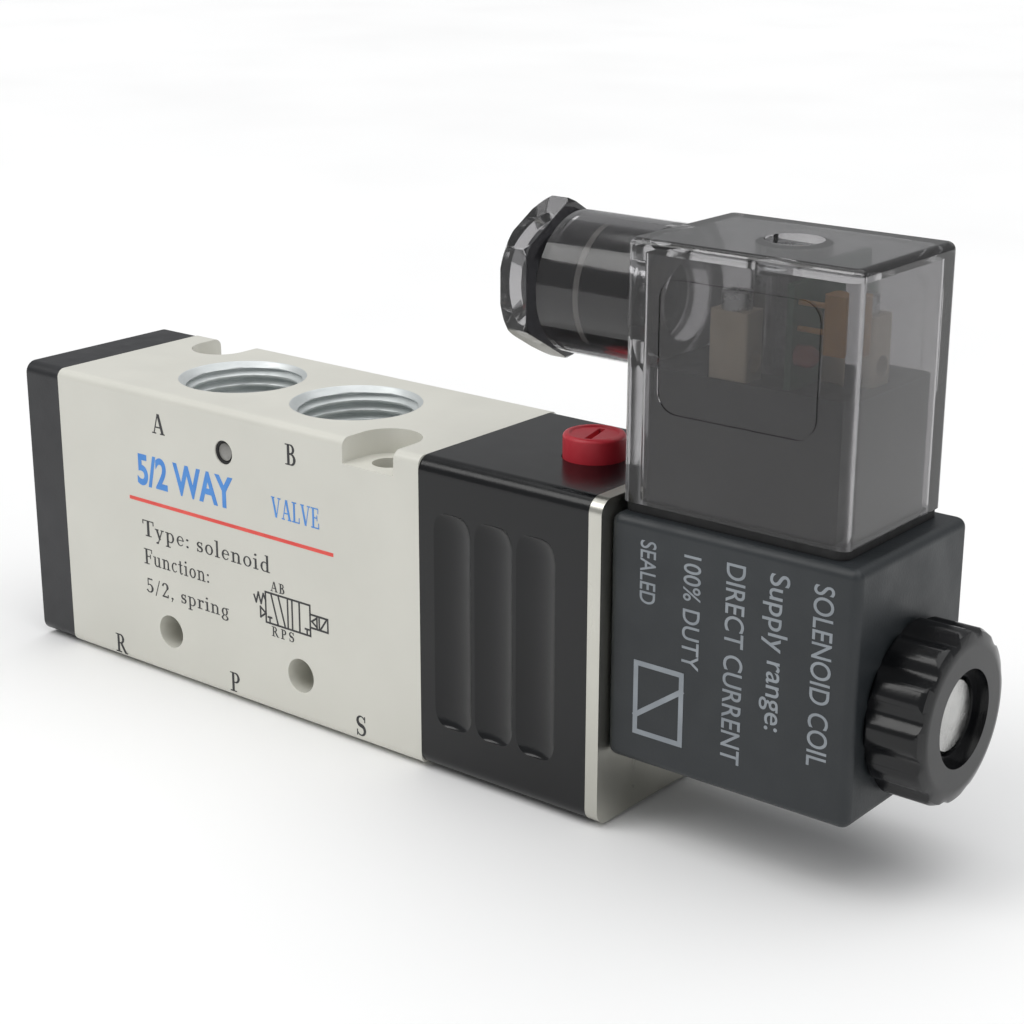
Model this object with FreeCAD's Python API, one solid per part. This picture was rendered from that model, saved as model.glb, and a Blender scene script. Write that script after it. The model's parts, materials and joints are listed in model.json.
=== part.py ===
import FreeCAD, Part
import os
import math

# Solenoid directional valve, 5 ports and 2 positions, pilot operated, spring return.
# Millimetres. X runs along the valve towards the coil, Y from the front to the back, Z is up.
# The origin is the centre of the supply port on the bottom face.

V = FreeCAD.Vector
X, Y, Z = V(1, 0, 0), V(0, 1, 0), V(0, 0, 1)

# ---------------------------------------------------------------- shared dimensions
BODY_X = 33.0            # half length of the valve body
HALF_Y = 13.5            # half width of body, cap, pilot housing and plate
HEIGHT = 40.0            # height of the same four
PILOT_EDGE = 1.9         # rounding of the long edges of pilot housing and plate
AXIS_Z = 20.0            # height of the spool and armature axis
OVER = 1.0               # how far a cutter runs past a face

TAP_X = 28.0             # inner end of the tapped screw holes
TAP_R, SHANK_R = 1.5, 1.47
SHANK_GAP = 0.3          # from a screw's tip to the end of its hole
CAP_SCREWS = [(9.6, 32.0), (-9.6, 8.0)]      # y, z
HEAD_SCREWS = [(-8.3, 32.0), (8.3, 11.6)]    # y, z

PASSAGE_R = 1.0          # pilot supply drillings
PASSAGE_Y = 10.5         # the one that runs along the back
PLUG_X, PLUG_Z, PLUG_R = -0.5, 34.2, 1.55


# ---------------------------------------------------------------- helpers
def box(x0, x1, y0, y1, z0, z1):
    return Part.makeBox(x1 - x0, y1 - y0, z1 - z0, V(x0, y0, z0))


def box_at(x, y, half_x, half_y, z0, z1):
    return box(x - half_x, x + half_x, y - half_y, y + half_y, z0, z1)


def cyl_x(x0, x1, r, y=0.0, z=AXIS_Z):
    return Part.makeCylinder(r, x1 - x0, V(x0, y, z), X)


def cyl_y(y0, y1, r, x, z):
    return Part.makeCylinder(r, y1 - y0, V(x, y0, z), Y)


def cyl_z(z0, z1, r, x, y=0.0):
    return Part.makeCylinder(r, z1 - z0, V(x, y, z0), Z)


def cone_x(x, r0, r1, length, y, z):
    return Part.makeCone(r0, r1, length, V(x, y, z), X)


def ring_x(x0, x1, r_in, r_out, z=AXIS_Z):
    return cyl_x(x0, x1, r_out, 0, z).cut(cyl_x(x0 - OVER, x1 + OVER, r_in, 0, z))


def ring_z(z0, z1, r_in, r_out, x):
    return cyl_z(z0, z1, r_out, x).cut(cyl_z(z0 - OVER, z1 + OVER, r_in, x))


def cut_all(shape, cutters):
    for cutter in cutters:
        shape = shape.cut(cutter)
    return shape


def fuse(parts):
    return parts[0].multiFuse(parts[1:]).removeSplitter()


def round_edges(shape, radius, direction):
    """Fillet every straight edge parallel to direction."""
    edges = []
    for edge in shape.Edges:
        if len(edge.Vertexes) != 2:
            continue
        chord = edge.Vertexes[1].Point.sub(edge.Vertexes[0].Point)
        if chord.Length < 1e-6:
            continue
        if abs(abs(chord.dot(direction)) / chord.Length - 1) < 1e-6:
            edges.append(edge)
    return shape.makeFillet(radius, edges)


def section_block(x0, x1, edge):
    """Length of the common outer section, its long edges rounded."""
    return round_edges(box(x0, x1, -HALF_Y, HALF_Y, 0, HEIGHT), edge, X)


def revolve_x(points, z=AXIS_Z):
    """Solid of revolution about the line y = 0 at height z, from (x, r) points."""
    outline = [V(px, 0, z + r) for px, r in points]
    face = Part.Face(Part.makePolygon(outline + outline[:1]))
    return face.revolve(V(0, 0, z), X, 360)


def revolve_z(points, x):
    """Solid of revolution about the vertical at x, from (z, r) points."""
    outline = [V(x + r, 0, pz) for pz, r in points]
    face = Part.Face(Part.makePolygon(outline + outline[:1]))
    return face.revolve(V(x, 0, 0), Z, 360)


def seal_section(centre, r_in, r_out, width):
    """Octagonal ring section as (place along the axis, r) points."""
    h, c = width / 2, min(width, r_out - r_in) * 0.28
    return [(centre - h + c, r_in), (centre + h - c, r_in),
            (centre + h, r_in + c), (centre + h, r_out - c),
            (centre + h - c, r_out), (centre - h + c, r_out),
            (centre - h, r_out - c), (centre - h, r_in + c)]


def spring(start, axis, length, mean_r, wire_r, turns, square=False):
    """Round-wire helix from start along axis; square sets the section square to the wire."""
    pitch = length / turns
    helix = Part.makeHelix(pitch, length, mean_r)
    normal = V(0, 2 * math.pi * mean_r, pitch) if square else V(0, 1, 0)
    normal.normalize()
    section = Part.Wire([Part.makeCircle(wire_r, V(mean_r, 0, 0), normal)])
    coil = Part.Wire(helix.Edges).makePipeShell([section], True, True)
    if coil.ShapeType != "Solid":
        coil = Part.Solid(coil)
    if coil.Volume < 0:
        coil.reverse()
    coil.Placement = FreeCAD.Placement(start, FreeCAD.Rotation(Z, axis))
    return coil


def cross_slotted(screw, x0, x1, y, z, half_width, half_length):
    screw = screw.cut(box(x0, x1, y - half_width, y + half_width,
                          z - half_length, z + half_length))
    screw = screw.cut(box(x0, x1, y - half_length, y + half_length,
                          z - half_width, z + half_width))
    return screw.removeSplitter()


# ---------------------------------------------------------------- valve body
BODY_EDGE = 1.2
BORE_R, GALLERY_R = 6.25, 7.5
WORK_X, EXHAUST_X = 10.5, 22.8
GALLERIES = [(-EXHAUST_X, 4.0), (-WORK_X, 5.0), (0.0, 5.0), (WORK_X, 5.0), (EXHAUST_X, 4.0)]  # x, w
# pipe threads: major radius, minor radius, pitch
THREAD_38, DEPTH_38 = (8.33, 7.475, 1.337), 11.0
THREAD_14, DEPTH_14 = (6.58, 5.725, 1.337), 9.0
SLOT_38, SLOT_14 = (2, 5), (1.8, 4)                 # half sizes in x, y of the port slots
MOUNT_X, MOUNT_Z, MOUNT_R = 12.3, 6.5, 2.3          # cross holes through the body
MANIFOLD_X, MANIFOLD_Y, MANIFOLD_R = 24.8, 9.6, 2.1     # vertical screw holes
POCKET_R, POCKET_FLOOR = 4.2, 36.8                  # their head pockets


def port_cutter(x, z_face, up, thread, depth):
    """Tapped port: lead-in chamfer, ring grooves and tapping bore.
    up is +1 when the port opens towards +Z."""
    major, minor, pitch = thread
    mouth, flat, half_crest = major + 0.35, 0.28, 0.08
    d = mouth - minor
    points = [(-0.5, 0.0), (-0.5, mouth + 0.5), (0.0, mouth), (d, minor)]    # depth, r
    while d + pitch < depth - 1.2:
        middle = d + flat + (pitch - flat) / 2
        points += [(d + flat, minor), (middle - half_crest, major), (middle + half_crest, major)]
        d += pitch
        points.append((d, minor))
    points += [(depth, minor), (depth, 0.0)]
    return revolve_z([(z_face - up * d, r) for d, r in points], x)


def valve_body():
    cuts = [cyl_x(-BODY_X - OVER, BODY_X + OVER, BORE_R)]
    for x, width in GALLERIES:
        cuts.append(cyl_x(x - width / 2, x + width / 2, GALLERY_R))
    # work ports on top, supply and exhausts below, each joined to its gallery by a slot
    for x in (-WORK_X, WORK_X):
        cuts.append(port_cutter(x, HEIGHT, 1, THREAD_38, DEPTH_38))
        cuts.append(box_at(x, 0, *SLOT_38, AXIS_Z, HEIGHT - DEPTH_38 + 0.5))
    cuts.append(port_cutter(0.0, 0.0, -1, THREAD_38, DEPTH_38))
    cuts.append(box_at(0, 0, *SLOT_38, DEPTH_38 - 0.5, AXIS_Z))
    for x in (-EXHAUST_X, EXHAUST_X):
        cuts.append(port_cutter(x, 0.0, -1, THREAD_14, DEPTH_14))
        cuts.append(box_at(x, 0, *SLOT_14, DEPTH_14 - 0.5, AXIS_Z))
    for x in (-MOUNT_X, MOUNT_X):
        cuts.append(cyl_y(-HALF_Y - OVER, HALF_Y + OVER, MOUNT_R, x, MOUNT_Z))
    # manifold screw holes at two diagonal corners, head pockets open to the side
    for s in (1, -1):
        x, y = s * MANIFOLD_X, -s * MANIFOLD_Y
        cuts.append(cyl_z(-OVER, HEIGHT, MANIFOLD_R, x, y))
        cuts.append(cyl_z(POCKET_FLOOR, HEIGHT + OVER, POCKET_R, x, y))
        y0, y1 = sorted((y, -s * (HALF_Y + OVER)))
        cuts.append(box(x - POCKET_R, x + POCKET_R, y0, y1, POCKET_FLOOR, HEIGHT + OVER))
    # pilot supply: up from the supply gallery, across, then along the back to the pilot side
    cuts.append(cyl_z(AXIS_Z, PLUG_Z, PASSAGE_R, PLUG_X))
    cuts.append(cyl_y(-HALF_Y - OVER, PASSAGE_Y, PASSAGE_R, PLUG_X, PLUG_Z))
    cuts.append(cyl_y(-HALF_Y - OVER, -HALF_Y + 3.2, PLUG_R, PLUG_X, PLUG_Z))
    cuts.append(cyl_x(PLUG_X, BODY_X + OVER, PASSAGE_R, PASSAGE_Y, PLUG_Z))
    for y, z in CAP_SCREWS:
        cuts.append(cyl_x(-BODY_X - OVER, -TAP_X, TAP_R, y, z))
    for y, z in HEAD_SCREWS:
        cuts.append(cyl_x(TAP_X, BODY_X + OVER, TAP_R, y, z))
    return cut_all(section_block(-BODY_X, BODY_X, BODY_EDGE), cuts)


def pilot_gallery_plug():
    dome_r = 2.4
    dome = Part.makeSphere(dome_r, V(PLUG_X, -HALF_Y + 0.35 + dome_r, PLUG_Z))
    return cyl_y(-HALF_Y + 0.3, -HALF_Y + 3.0, PLUG_R, PLUG_X, PLUG_Z).common(dome)


# ---------------------------------------------------------------- end cap
CAP_X0, CAP_EDGE, CAP_CHAMFER = -39.7, 1.6, 0.5
CAP_POCKET_X, CAP_POCKET_R = -37.6, 3.5      # return spring pocket
CAP_GROOVE_IN, CAP_GROOVE_OUT = 7.0, 9.2
CAP_HEAD_X1 = CAP_X0 + 2.6                   # floor of the screw counterbores


def end_cap():
    cap = section_block(CAP_X0, -BODY_X, CAP_EDGE)
    outer = [e for e in cap.Edges if abs(e.CenterOfMass.x - CAP_X0) < 1e-6]
    cap = cap.makeChamfer(CAP_CHAMFER, outer)
    inside = -BODY_X + OVER
    cap = cap.cut(cyl_x(CAP_POCKET_X, inside, CAP_POCKET_R))
    cap = cap.cut(ring_x(-BODY_X - 1.0, inside, CAP_GROOVE_IN, CAP_GROOVE_OUT))
    for y, z in CAP_SCREWS:
        cap = cap.cut(cyl_x(CAP_X0 - OVER, inside, 1.7, y, z))
        cap = cap.cut(cyl_x(CAP_X0 - OVER, CAP_HEAD_X1, 3.05, y, z))
    return cap


def end_cap_gasket():
    return revolve_x(seal_section(-BODY_X - 0.5, CAP_GROOVE_IN + 0.1, CAP_GROOVE_OUT - 0.1, 1.0))


def end_cap_screws():
    screws = []
    for y, z in CAP_SCREWS:
        head = cyl_x(CAP_X0 + 0.4, CAP_HEAD_X1, 2.75, y, z)
        shank = cyl_x(CAP_HEAD_X1 - 0.1, -TAP_X - SHANK_GAP, SHANK_R, y, z)
        screws.append(cross_slotted(head.fuse(shank), CAP_X0 - OVER, CAP_X0 + 1.3, y, z,
                                    half_width=0.4, half_length=1.7))
    return Part.Compound(screws)


# ---------------------------------------------------------------- spool and return spring
SPOOL_X0 = -28.0
SPOOL_POCKET_X, SPOOL_POCKET_R = -19.0, 3.3      # floor and radius of the spring pocket
SEAL_X = [-26.4, -10.5, -5.5, 10.5, 15.5, 31.0]
SEAL_R, SEAL_WIDTH = 6.20, 1.6
LAND_R, LAND_HALF = 6.05, 1.5
NECK_R, THICK_R = 4.0, 4.6                       # thick: groove floors, ends, round the pocket
NECK_X0 = -17.0                                  # where the thick part ends


def spool():
    half = SEAL_WIDTH / 2
    points = [(SPOOL_X0, SPOOL_POCKET_R), (SPOOL_X0, THICK_R)]       # x, r
    for i, x in enumerate(SEAL_X):
        points += [(x - LAND_HALF, NECK_R if i else THICK_R), (x - LAND_HALF, LAND_R),
                   (x - half, LAND_R), (x - half, THICK_R),
                   (x + half, THICK_R), (x + half, LAND_R), (x + LAND_HALF, LAND_R)]
        if i == 0:
            points += [(x + LAND_HALF, THICK_R), (NECK_X0, THICK_R), (NECK_X0, NECK_R)]
        elif i < len(SEAL_X) - 1:
            points.append((x + LAND_HALF, NECK_R))
    points += [(SEAL_X[-1] + LAND_HALF, THICK_R), (BODY_X, THICK_R), (BODY_X, 0),
               (SPOOL_POCKET_X, 0), (SPOOL_POCKET_X, SPOOL_POCKET_R)]
    return revolve_x(points)


def spool_seals():
    return Part.Compound([revolve_x(seal_section(x, THICK_R + 0.02, SEAL_R, SEAL_WIDTH - 0.04))
                          for x in SEAL_X])


def return_spring():
    inset = 0.43
    length = SPOOL_POCKET_X - CAP_POCKET_X - 2 * inset
    return spring(V(CAP_POCKET_X + inset, 0, AXIS_Z), X, length,
                  mean_r=2.7, wire_r=0.4, turns=8.5)


# ---------------------------------------------------------------- pilot housing
PILOT_X1 = 58.3
CHAMBER_R, CHAMBER_X1 = 8.5, 44.6                # piston chamber
PILOT_GROOVE_IN, PILOT_GROOVE_OUT = 8.8, 9.8
FLUTE_X = [38.25 + 6.3 * i for i in range(3)]
FLUTE_WIDTH, FLUTE_DEPTH = 5.8, 0.7
FLUTE_Z0, FLUTE_Z1 = 6.2, 33.8
CAVITY_X0, CAVITY_R = 50.0, 6.5                  # armature cavity
SUPPLY_X1 = 46.0                                 # where the supply turns to the nozzle
NOZZLE_X0, NOZZLE_R = 48.5, 1.5
DRILL_R = 0.8
FLANGE_X0, FLANGE_R = 56.3, 8.0                  # flange of the armature tube
HEAD_HOLE_R = 1.6
BUTTON_X, BUTTON_R, BUTTON_TOP = 49.0, 3.8, 43.0
STEM_R, STEM_BORE_R = 2.6, 2.65
BUTTON_SEAT_Z, BUTTON_HEAD_Z = 32.2, 38.0        # the override spring sits between these
ARMATURE_X0, ARMATURE_X1, ARMATURE_R = 52.0, 78.0, 3.8


def pilot_housing():
    housing = section_block(BODY_X, PILOT_X1, PILOT_EDGE)
    # broad shallow vertical flutes on the front and the back, thin ribs between them
    flute_r = ((FLUTE_WIDTH / 2) ** 2 + FLUTE_DEPTH ** 2) / (2 * FLUTE_DEPTH)
    for x in FLUTE_X:
        for side in (-1, 1):
            y = side * (HALF_Y + flute_r - FLUTE_DEPTH)
            housing = housing.cut(cyl_z(FLUTE_Z0, FLUTE_Z1, flute_r, x, y))
    slant = V(0, -PASSAGE_Y, AXIS_Z - PLUG_Z)
    start, end = BODY_X - OVER, PILOT_X1 + OVER
    drill_end = CAVITY_X0 + 0.5
    cuts = [
        cyl_x(start, CHAMBER_X1, CHAMBER_R),
        ring_x(start, BODY_X + 1.0, PILOT_GROOVE_IN, PILOT_GROOVE_OUT),
        cyl_x(CAVITY_X0, end, CAVITY_R),
        cyl_x(FLANGE_X0, end, FLANGE_R + 0.1),
        # nozzle passage, nozzle seat, and the drilling from cavity to piston chamber
        cyl_x(SUPPLY_X1, drill_end, DRILL_R),
        cyl_x(NOZZLE_X0, drill_end, NOZZLE_R),
        cyl_x(CHAMBER_X1 - OVER, drill_end, DRILL_R, 0, 15.0),
        # supply from the body, then slanting down to the nozzle passage
        cyl_x(start, SUPPLY_X1, PASSAGE_R, PASSAGE_Y, PLUG_Z),
        Part.makeCylinder(DRILL_R, slant.Length, V(SUPPLY_X1, PASSAGE_Y, PLUG_Z), slant),
        # override bore and its wider mouth
        cyl_z(22.6, HEIGHT + OVER, STEM_BORE_R, BUTTON_X),
        cyl_z(BUTTON_SEAT_Z, HEIGHT + OVER, BUTTON_R + 0.08, BUTTON_X)]
    cuts += [cyl_x(start, end, HEAD_HOLE_R, y, z) for y, z in HEAD_SCREWS]
    return cut_all(housing, cuts)


def pilot_housing_gasket():
    return revolve_x(seal_section(BODY_X + 0.5, PILOT_GROOVE_IN + 0.05,
                                  PILOT_GROOVE_OUT - 0.05, 1.0))


def piston():
    """Piston with its nose against the end of the spool."""
    return revolve_x([(BODY_X, 0), (BODY_X, 4.6), (33.6, 5.2), (39.0, 5.2), (39.0, 8.4),
                      (40.5, 8.4), (40.5, 6.6), (42.5, 6.6), (42.5, 8.4),
                      (44.0, 8.4), (44.0, 0)])


def piston_seal():
    return revolve_x(seal_section(41.5, 6.62, 8.45, 1.9))


def pilot_nozzle():
    bore_r, tip_x = 0.5, ARMATURE_X0 - 0.02
    return revolve_x([(NOZZLE_X0, bore_r), (NOZZLE_X0, NOZZLE_R), (CAVITY_X0, NOZZLE_R),
                      (CAVITY_X0, 2.4), (50.8, 2.4), (tip_x, 1.2), (tip_x, bore_r)])


# ---------------------------------------------------------------- manual override
def override_button():
    bevel = 0.35
    button = revolve_z([(24.7, 0), (24.7, 2.2), (25.1, STEM_R), (27.1, STEM_R), (27.1, 1.9),
                        (28.9, 1.9), (28.9, STEM_R), (BUTTON_HEAD_Z, STEM_R),
                        (BUTTON_HEAD_Z, BUTTON_R), (BUTTON_TOP - bevel, BUTTON_R),
                        (BUTTON_TOP, BUTTON_R - bevel), (BUTTON_TOP, 0)], BUTTON_X)
    button = button.cut(cyl_z(BUTTON_TOP - 0.25, BUTTON_TOP + OVER, BUTTON_R - 0.9, BUTTON_X))
    # screwdriver slot, turned 15 degrees off the Y axis
    slot = box_at(BUTTON_X, 0, 0.4, 2.5, BUTTON_TOP - 1.0, BUTTON_TOP + OVER)
    slot.rotate(V(BUTTON_X, 0, 0), Z, 15.0)
    return button.cut(slot)


def override_oring():
    return revolve_z(seal_section(28.0, 1.92, 2.62, 1.76), BUTTON_X)


def override_spring():
    inset = 0.34
    length = BUTTON_HEAD_Z - BUTTON_SEAT_Z - 2 * inset
    return spring(V(BUTTON_X, 0, BUTTON_SEAT_Z + inset), Z, length,
                  mean_r=3.45, wire_r=0.3, turns=4.0, square=True)


# ---------------------------------------------------------------- plate and long screws
PLATE_X1 = 60.1
TUBE_R, TUBE_IN_R, TUBE_X1 = 4.5, 3.85, 97.5
COUNTERSINK_X = PLATE_X1 - 1.35


def retaining_plate():
    start, end = PILOT_X1 - OVER, PLATE_X1 + OVER
    plate = section_block(PILOT_X1, PLATE_X1, PILOT_EDGE)
    plate = plate.cut(cyl_x(start, end, TUBE_R + 0.05))
    for y, z in HEAD_SCREWS:
        plate = plate.cut(cyl_x(start, end, HEAD_HOLE_R, y, z))
        plate = plate.cut(cone_x(COUNTERSINK_X, HEAD_HOLE_R, 2.75, 1.35, y, z))
    return plate


def pilot_head_screws():
    screws = []
    for y, z in HEAD_SCREWS:
        head = cone_x(COUNTERSINK_X, SHANK_R, 2.68, 1.33, y, z)
        shank = cyl_x(TAP_X + SHANK_GAP, COUNTERSINK_X + 0.05, SHANK_R, y, z)
        screws.append(cross_slotted(head.fuse(shank), PLATE_X1 - 0.8, PLATE_X1 + OVER, y, z,
                                    half_width=0.35, half_length=1.3))
    return Part.Compound(screws)


# ---------------------------------------------------------------- armature set
CORE_X0, CORE_X1 = 79.0, 92.0
RIM_X1 = ARMATURE_X0 + 1.2       # rim at the nozzle end of the armature


def armature_tube():
    return revolve_x([(FLANGE_X0, TUBE_IN_R), (FLANGE_X0, 6.4), (57.0, 6.4), (57.0, FLANGE_R),
                      (PILOT_X1, FLANGE_R), (PILOT_X1, TUBE_R), (TUBE_X1 - 0.5, TUBE_R),
                      (TUBE_X1, TUBE_R - 0.5), (TUBE_X1, 0), (CORE_X1, 0), (CORE_X1, TUBE_IN_R)])


def tube_flange_oring():
    return revolve_x(seal_section(56.65, 6.45, 8.05, 0.66))


def fixed_core():
    r, end = TUBE_IN_R - 0.02, CORE_X1 - 0.02
    return revolve_x([(CORE_X0, 0), (CORE_X0, 3.4), (CORE_X0 + 0.4, r), (end, r), (end, 0)])


def armature():
    start, floor, pocket_r, rim_r = ARMATURE_X0 + 0.02, ARMATURE_X0 + 2.0, 1.6, 5.0
    return revolve_x([(start, pocket_r), (start, rim_r), (RIM_X1, rim_r), (RIM_X1, ARMATURE_R),
                      (ARMATURE_X1 - 0.4, ARMATURE_R), (ARMATURE_X1, ARMATURE_R - 0.4),
                      (ARMATURE_X1, 0), (floor, 0), (floor, pocket_r)])


def armature_seal():
    return cyl_x(ARMATURE_X0, ARMATURE_X0 + 1.98, 1.58)


def armature_spring():
    inset = 0.28
    return spring(V(RIM_X1 + inset, 0, AXIS_Z), X, FLANGE_X0 - RIM_X1 - 2 * inset,
                  mean_r=4.5, wire_r=0.25, turns=2.5)


# ---------------------------------------------------------------- coil
COIL_X1, COIL_HALF_Y = 92.0, 12.0
COIL_Z0, COIL_Z1 = 8.9, 38.4
COIL_BORE_R = 4.6
YOKE_X0, YOKE_X1, YOKE_THICK = 62.0, 90.6, 1.6
YOKE_Z0, YOKE_Z1 = 11.5, 31.9
BOBBIN_X0, BOBBIN_X1 = YOKE_X0 + YOKE_THICK, YOKE_X1 - YOKE_THICK
BOBBIN_R, BARREL_R = 9.5, 5.4
WINDING_X0, WINDING_X1 = BOBBIN_X0 + 1.2, BOBBIN_X1 - 1.2
SCREW_X = 75.2                               # centre screw of the connector
INSERT_Z0, INSERT_R = 33.0, 2.4
BLADE_SIDE_X, BLADE_SIDE_Y, BLADE_END_X = 72.7, 5.5, 83.0


def blade_boxes(side, end, z0, z1):
    """Boxes at the two side blades and the end blade; side and end are half sizes in x, y."""
    return [box_at(BLADE_SIDE_X, -BLADE_SIDE_Y, *side, z0, z1),
            box_at(BLADE_SIDE_X, BLADE_SIDE_Y, *side, z0, z1),
            box_at(BLADE_END_X, 0, *end, z0, z1)]


def blades():
    return blade_boxes((2.4, 0.4), (0.4, 2.4), 34.0, 46.5)


def coil_yoke():
    yoke = fuse([box(YOKE_X0, BOBBIN_X0, -8, 8, YOKE_Z0, YOKE_Z1),
                 box(BOBBIN_X1, YOKE_X1, -8, 8, YOKE_Z0, YOKE_Z1),
                 box(YOKE_X0, YOKE_X1, -8, 8, YOKE_Z1 - 1.5, YOKE_Z1)])
    return yoke.cut(cyl_x(YOKE_X0 - OVER, YOKE_X1 + OVER, COIL_BORE_R))


def coil_encapsulation():
    block = box(PLATE_X1, COIL_X1, -COIL_HALF_Y, COIL_HALF_Y, COIL_Z0, COIL_Z1)
    block = round_edges(round_edges(block, 1.5, X), 1.2, Z)
    return cut_all(block, [
        cyl_x(PLATE_X1 - OVER, COIL_X1 + OVER, COIL_BORE_R),
        cyl_x(PLATE_X1 - OVER, 61.7, 6.0),       # O-ring recess
        cyl_x(BOBBIN_X0, BOBBIN_X1, BOBBIN_R),
        coil_yoke(),
        cyl_z(INSERT_Z0, COIL_Z1 + OVER, INSERT_R, SCREW_X)] + blades())


def coil_bobbin():
    return revolve_x([(BOBBIN_X0, COIL_BORE_R), (BOBBIN_X0, BOBBIN_R), (WINDING_X0, BOBBIN_R),
                      (WINDING_X0, BARREL_R), (WINDING_X1, BARREL_R), (WINDING_X1, BOBBIN_R),
                      (BOBBIN_X1, BOBBIN_R), (BOBBIN_X1, COIL_BORE_R)])


def coil_winding():
    return ring_x(WINDING_X0, WINDING_X1, BARREL_R, 9.3)


def coil_terminals():
    return Part.Compound(blades())


def coil_screw_insert():
    return ring_z(INSERT_Z0, COIL_Z1, 1.5, INSERT_R, SCREW_X)


def coil_front_oring():
    return revolve_x(seal_section(61.05, 4.55, 5.9, 1.2))


def coil_lock_washer():
    return ring_x(COIL_X1, COIL_X1 + 0.6, 4.6, 7.8)


def coil_nut():
    x0, x1 = COIL_X1 - OVER, COIL_X1 + 7.0
    nut = cyl_x(COIL_X1, x1, 10.0)
    grip_r, grip_circle = 1.15, 10.55            # grip flutes round the rim
    for i in range(12):
        a = math.radians(30 * i + 15)
        nut = nut.cut(cyl_x(x0, x1 + OVER, grip_r,
                            grip_circle * math.cos(a), AXIS_Z + grip_circle * math.sin(a)))
    return cut_all(nut, [cyl_x(x0, x1 + OVER, TUBE_R + 0.05),
                         cyl_x(x0, COIL_X1 + 0.62, 8.0),      # washer recess
                         cyl_x(97.6, x1 + OVER, 5.6)])


# ---------------------------------------------------------------- connector
CON_X0, CON_X1, CON_HALF_Y = 60.4, 89.4, 10.4
CON_Z0, CON_Z1 = 39.5, 69.2
CON_WALL = 1.7
BLOCK_Z1 = 55.0                              # top of the terminal block
CLAMPS = [(72.7, -6.3, 2.4, 1.7), (72.7, 6.3, 2.4, 1.7), (83.0, 0.0, 2.5, 1.9)]  # x, y, half sizes
CLAMP_Z1 = 62.5
BOARD_X0, BOARD_X1, BOARD_HALF_Y, BOARD_SLOT_Z = 79.6, 80.4, 7.6, 53.0
SCREW_SEAT_Z = 65.8
GLAND_Z, GLAND_R, GLAND_X0 = 60.8, 8.35, 46.3    # the gland socket and its mouth
SOCKET_R, SOCKET_X1 = 7.0, 59.0


def connector_gasket():
    half_y = CON_HALF_Y - 0.2
    gasket = round_edges(box(CON_X0 + 0.3, CON_X1 - 0.3, -half_y, half_y, COIL_Z1, CON_Z0), 1.0, Z)
    z0, z1 = COIL_Z1 - OVER, CON_Z0 + OVER
    return cut_all(gasket, [cyl_z(z0, z1, 1.9, SCREW_X)]
                   + blade_boxes((2.7, 0.6), (0.6, 2.6), z0, z1))


def connector_housing():
    shell = box(CON_X0, CON_X1, -CON_HALF_Y, CON_HALF_Y, CON_Z0, CON_Z1)
    shell = round_edges(shell, 1.2, Z)
    top = [e for e in shell.Edges if abs(e.CenterOfMass.z - CON_Z1) < 1e-6]
    shell = shell.makeFillet(0.8, top)
    shell = fuse([shell, cyl_x(GLAND_X0, CON_X0 + 3, GLAND_R, 0, GLAND_Z)])
    half_y, ceiling = CON_HALF_Y - CON_WALL, CON_Z1 - CON_WALL
    cavity = box(CON_X0 + CON_WALL, CON_X1 - CON_WALL, -half_y, half_y, CON_Z0 - OVER, ceiling)
    shell = cut_all(shell, [round_edges(cavity, 0.8, Z),
                            cyl_x(GLAND_X0 - OVER, SOCKET_X1, SOCKET_R, 0, GLAND_Z),
                            cyl_x(SOCKET_X1 - OVER, CON_X0 + 3, 4.6, 0, GLAND_Z)])
    # post for the centre screw, hanging from the roof
    post = cyl_z(BLOCK_Z1 + 0.3, ceiling + 0.2, 4.2, SCREW_X)
    shell = shell.fuse(post).removeSplitter()
    return cut_all(shell, [cyl_z(40, CON_Z1 + OVER, 1.7, SCREW_X),
                           cyl_z(SCREW_SEAT_Z, CON_Z1 + OVER, 3.3, SCREW_X)])


def terminal_block():
    z0, z1 = CON_Z0 - 0.5, BLOCK_Z1 + OVER
    block = round_edges(box(62.5, 87.3, -8.3, 8.3, CON_Z0, BLOCK_Z1), 1.0, Z)
    cuts = [cyl_z(z0, z1, 1.8, SCREW_X)]
    cuts += blade_boxes((2.5, 0.42), (0.42, 2.5), z0, 47.0)
    cuts += [box_at(x, y, half_x + 0.1, half_y + 0.1, 46.9, z1) for x, y, half_x, half_y in CLAMPS]
    half_y = BOARD_HALF_Y + 0.05
    cuts.append(box(BOARD_X0 - 0.05, BOARD_X1 + 0.05, -half_y, half_y, BOARD_SLOT_Z, z1))
    return cut_all(block, cuts)


def terminal_clamps():
    clamps = []
    for x, y, half_x, half_y in CLAMPS:
        clamp = round_edges(box_at(x, y, half_x, half_y, 46.95, CLAMP_Z1), 0.4, Z)
        screw_hole = cyl_z(58.0, CLAMP_Z1 + 0.5, 1.03, x, y)
        wire_hole = cyl_x(x - 5, x + 5, 1.2, y, 57.0)
        clamps.append(clamp.cut(screw_hole).cut(wire_hole))
    return Part.Compound(clamps)


def terminal_screws():
    screws = []
    for x, y, _, _ in CLAMPS:
        screw = fuse([cyl_z(58.3, CLAMP_Z1, 1.0, x, y), cyl_z(CLAMP_Z1, 64.4, 1.65, x, y)])
        screws.append(screw.cut(box_at(x, y, 1.8, 0.25, 63.7, 66)))
    return Part.Compound(screws)


def connector_screw():
    screw = fuse([cyl_z(34.5, 66.2, SHANK_R, SCREW_X), cyl_z(66.2, 68.4, 2.9, SCREW_X)])
    return screw.cut(box_at(SCREW_X, 0, 4, 0.45, 67.4, 70))


def connector_screw_seal():
    return ring_z(SCREW_SEAT_Z + 0.02, 66.18, 1.55, 3.0, SCREW_X)


def led_board():
    return box(BOARD_X0, BOARD_X1, -BOARD_HALF_Y, BOARD_HALF_Y, BOARD_SLOT_Z + 0.05, 66.3)


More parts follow.
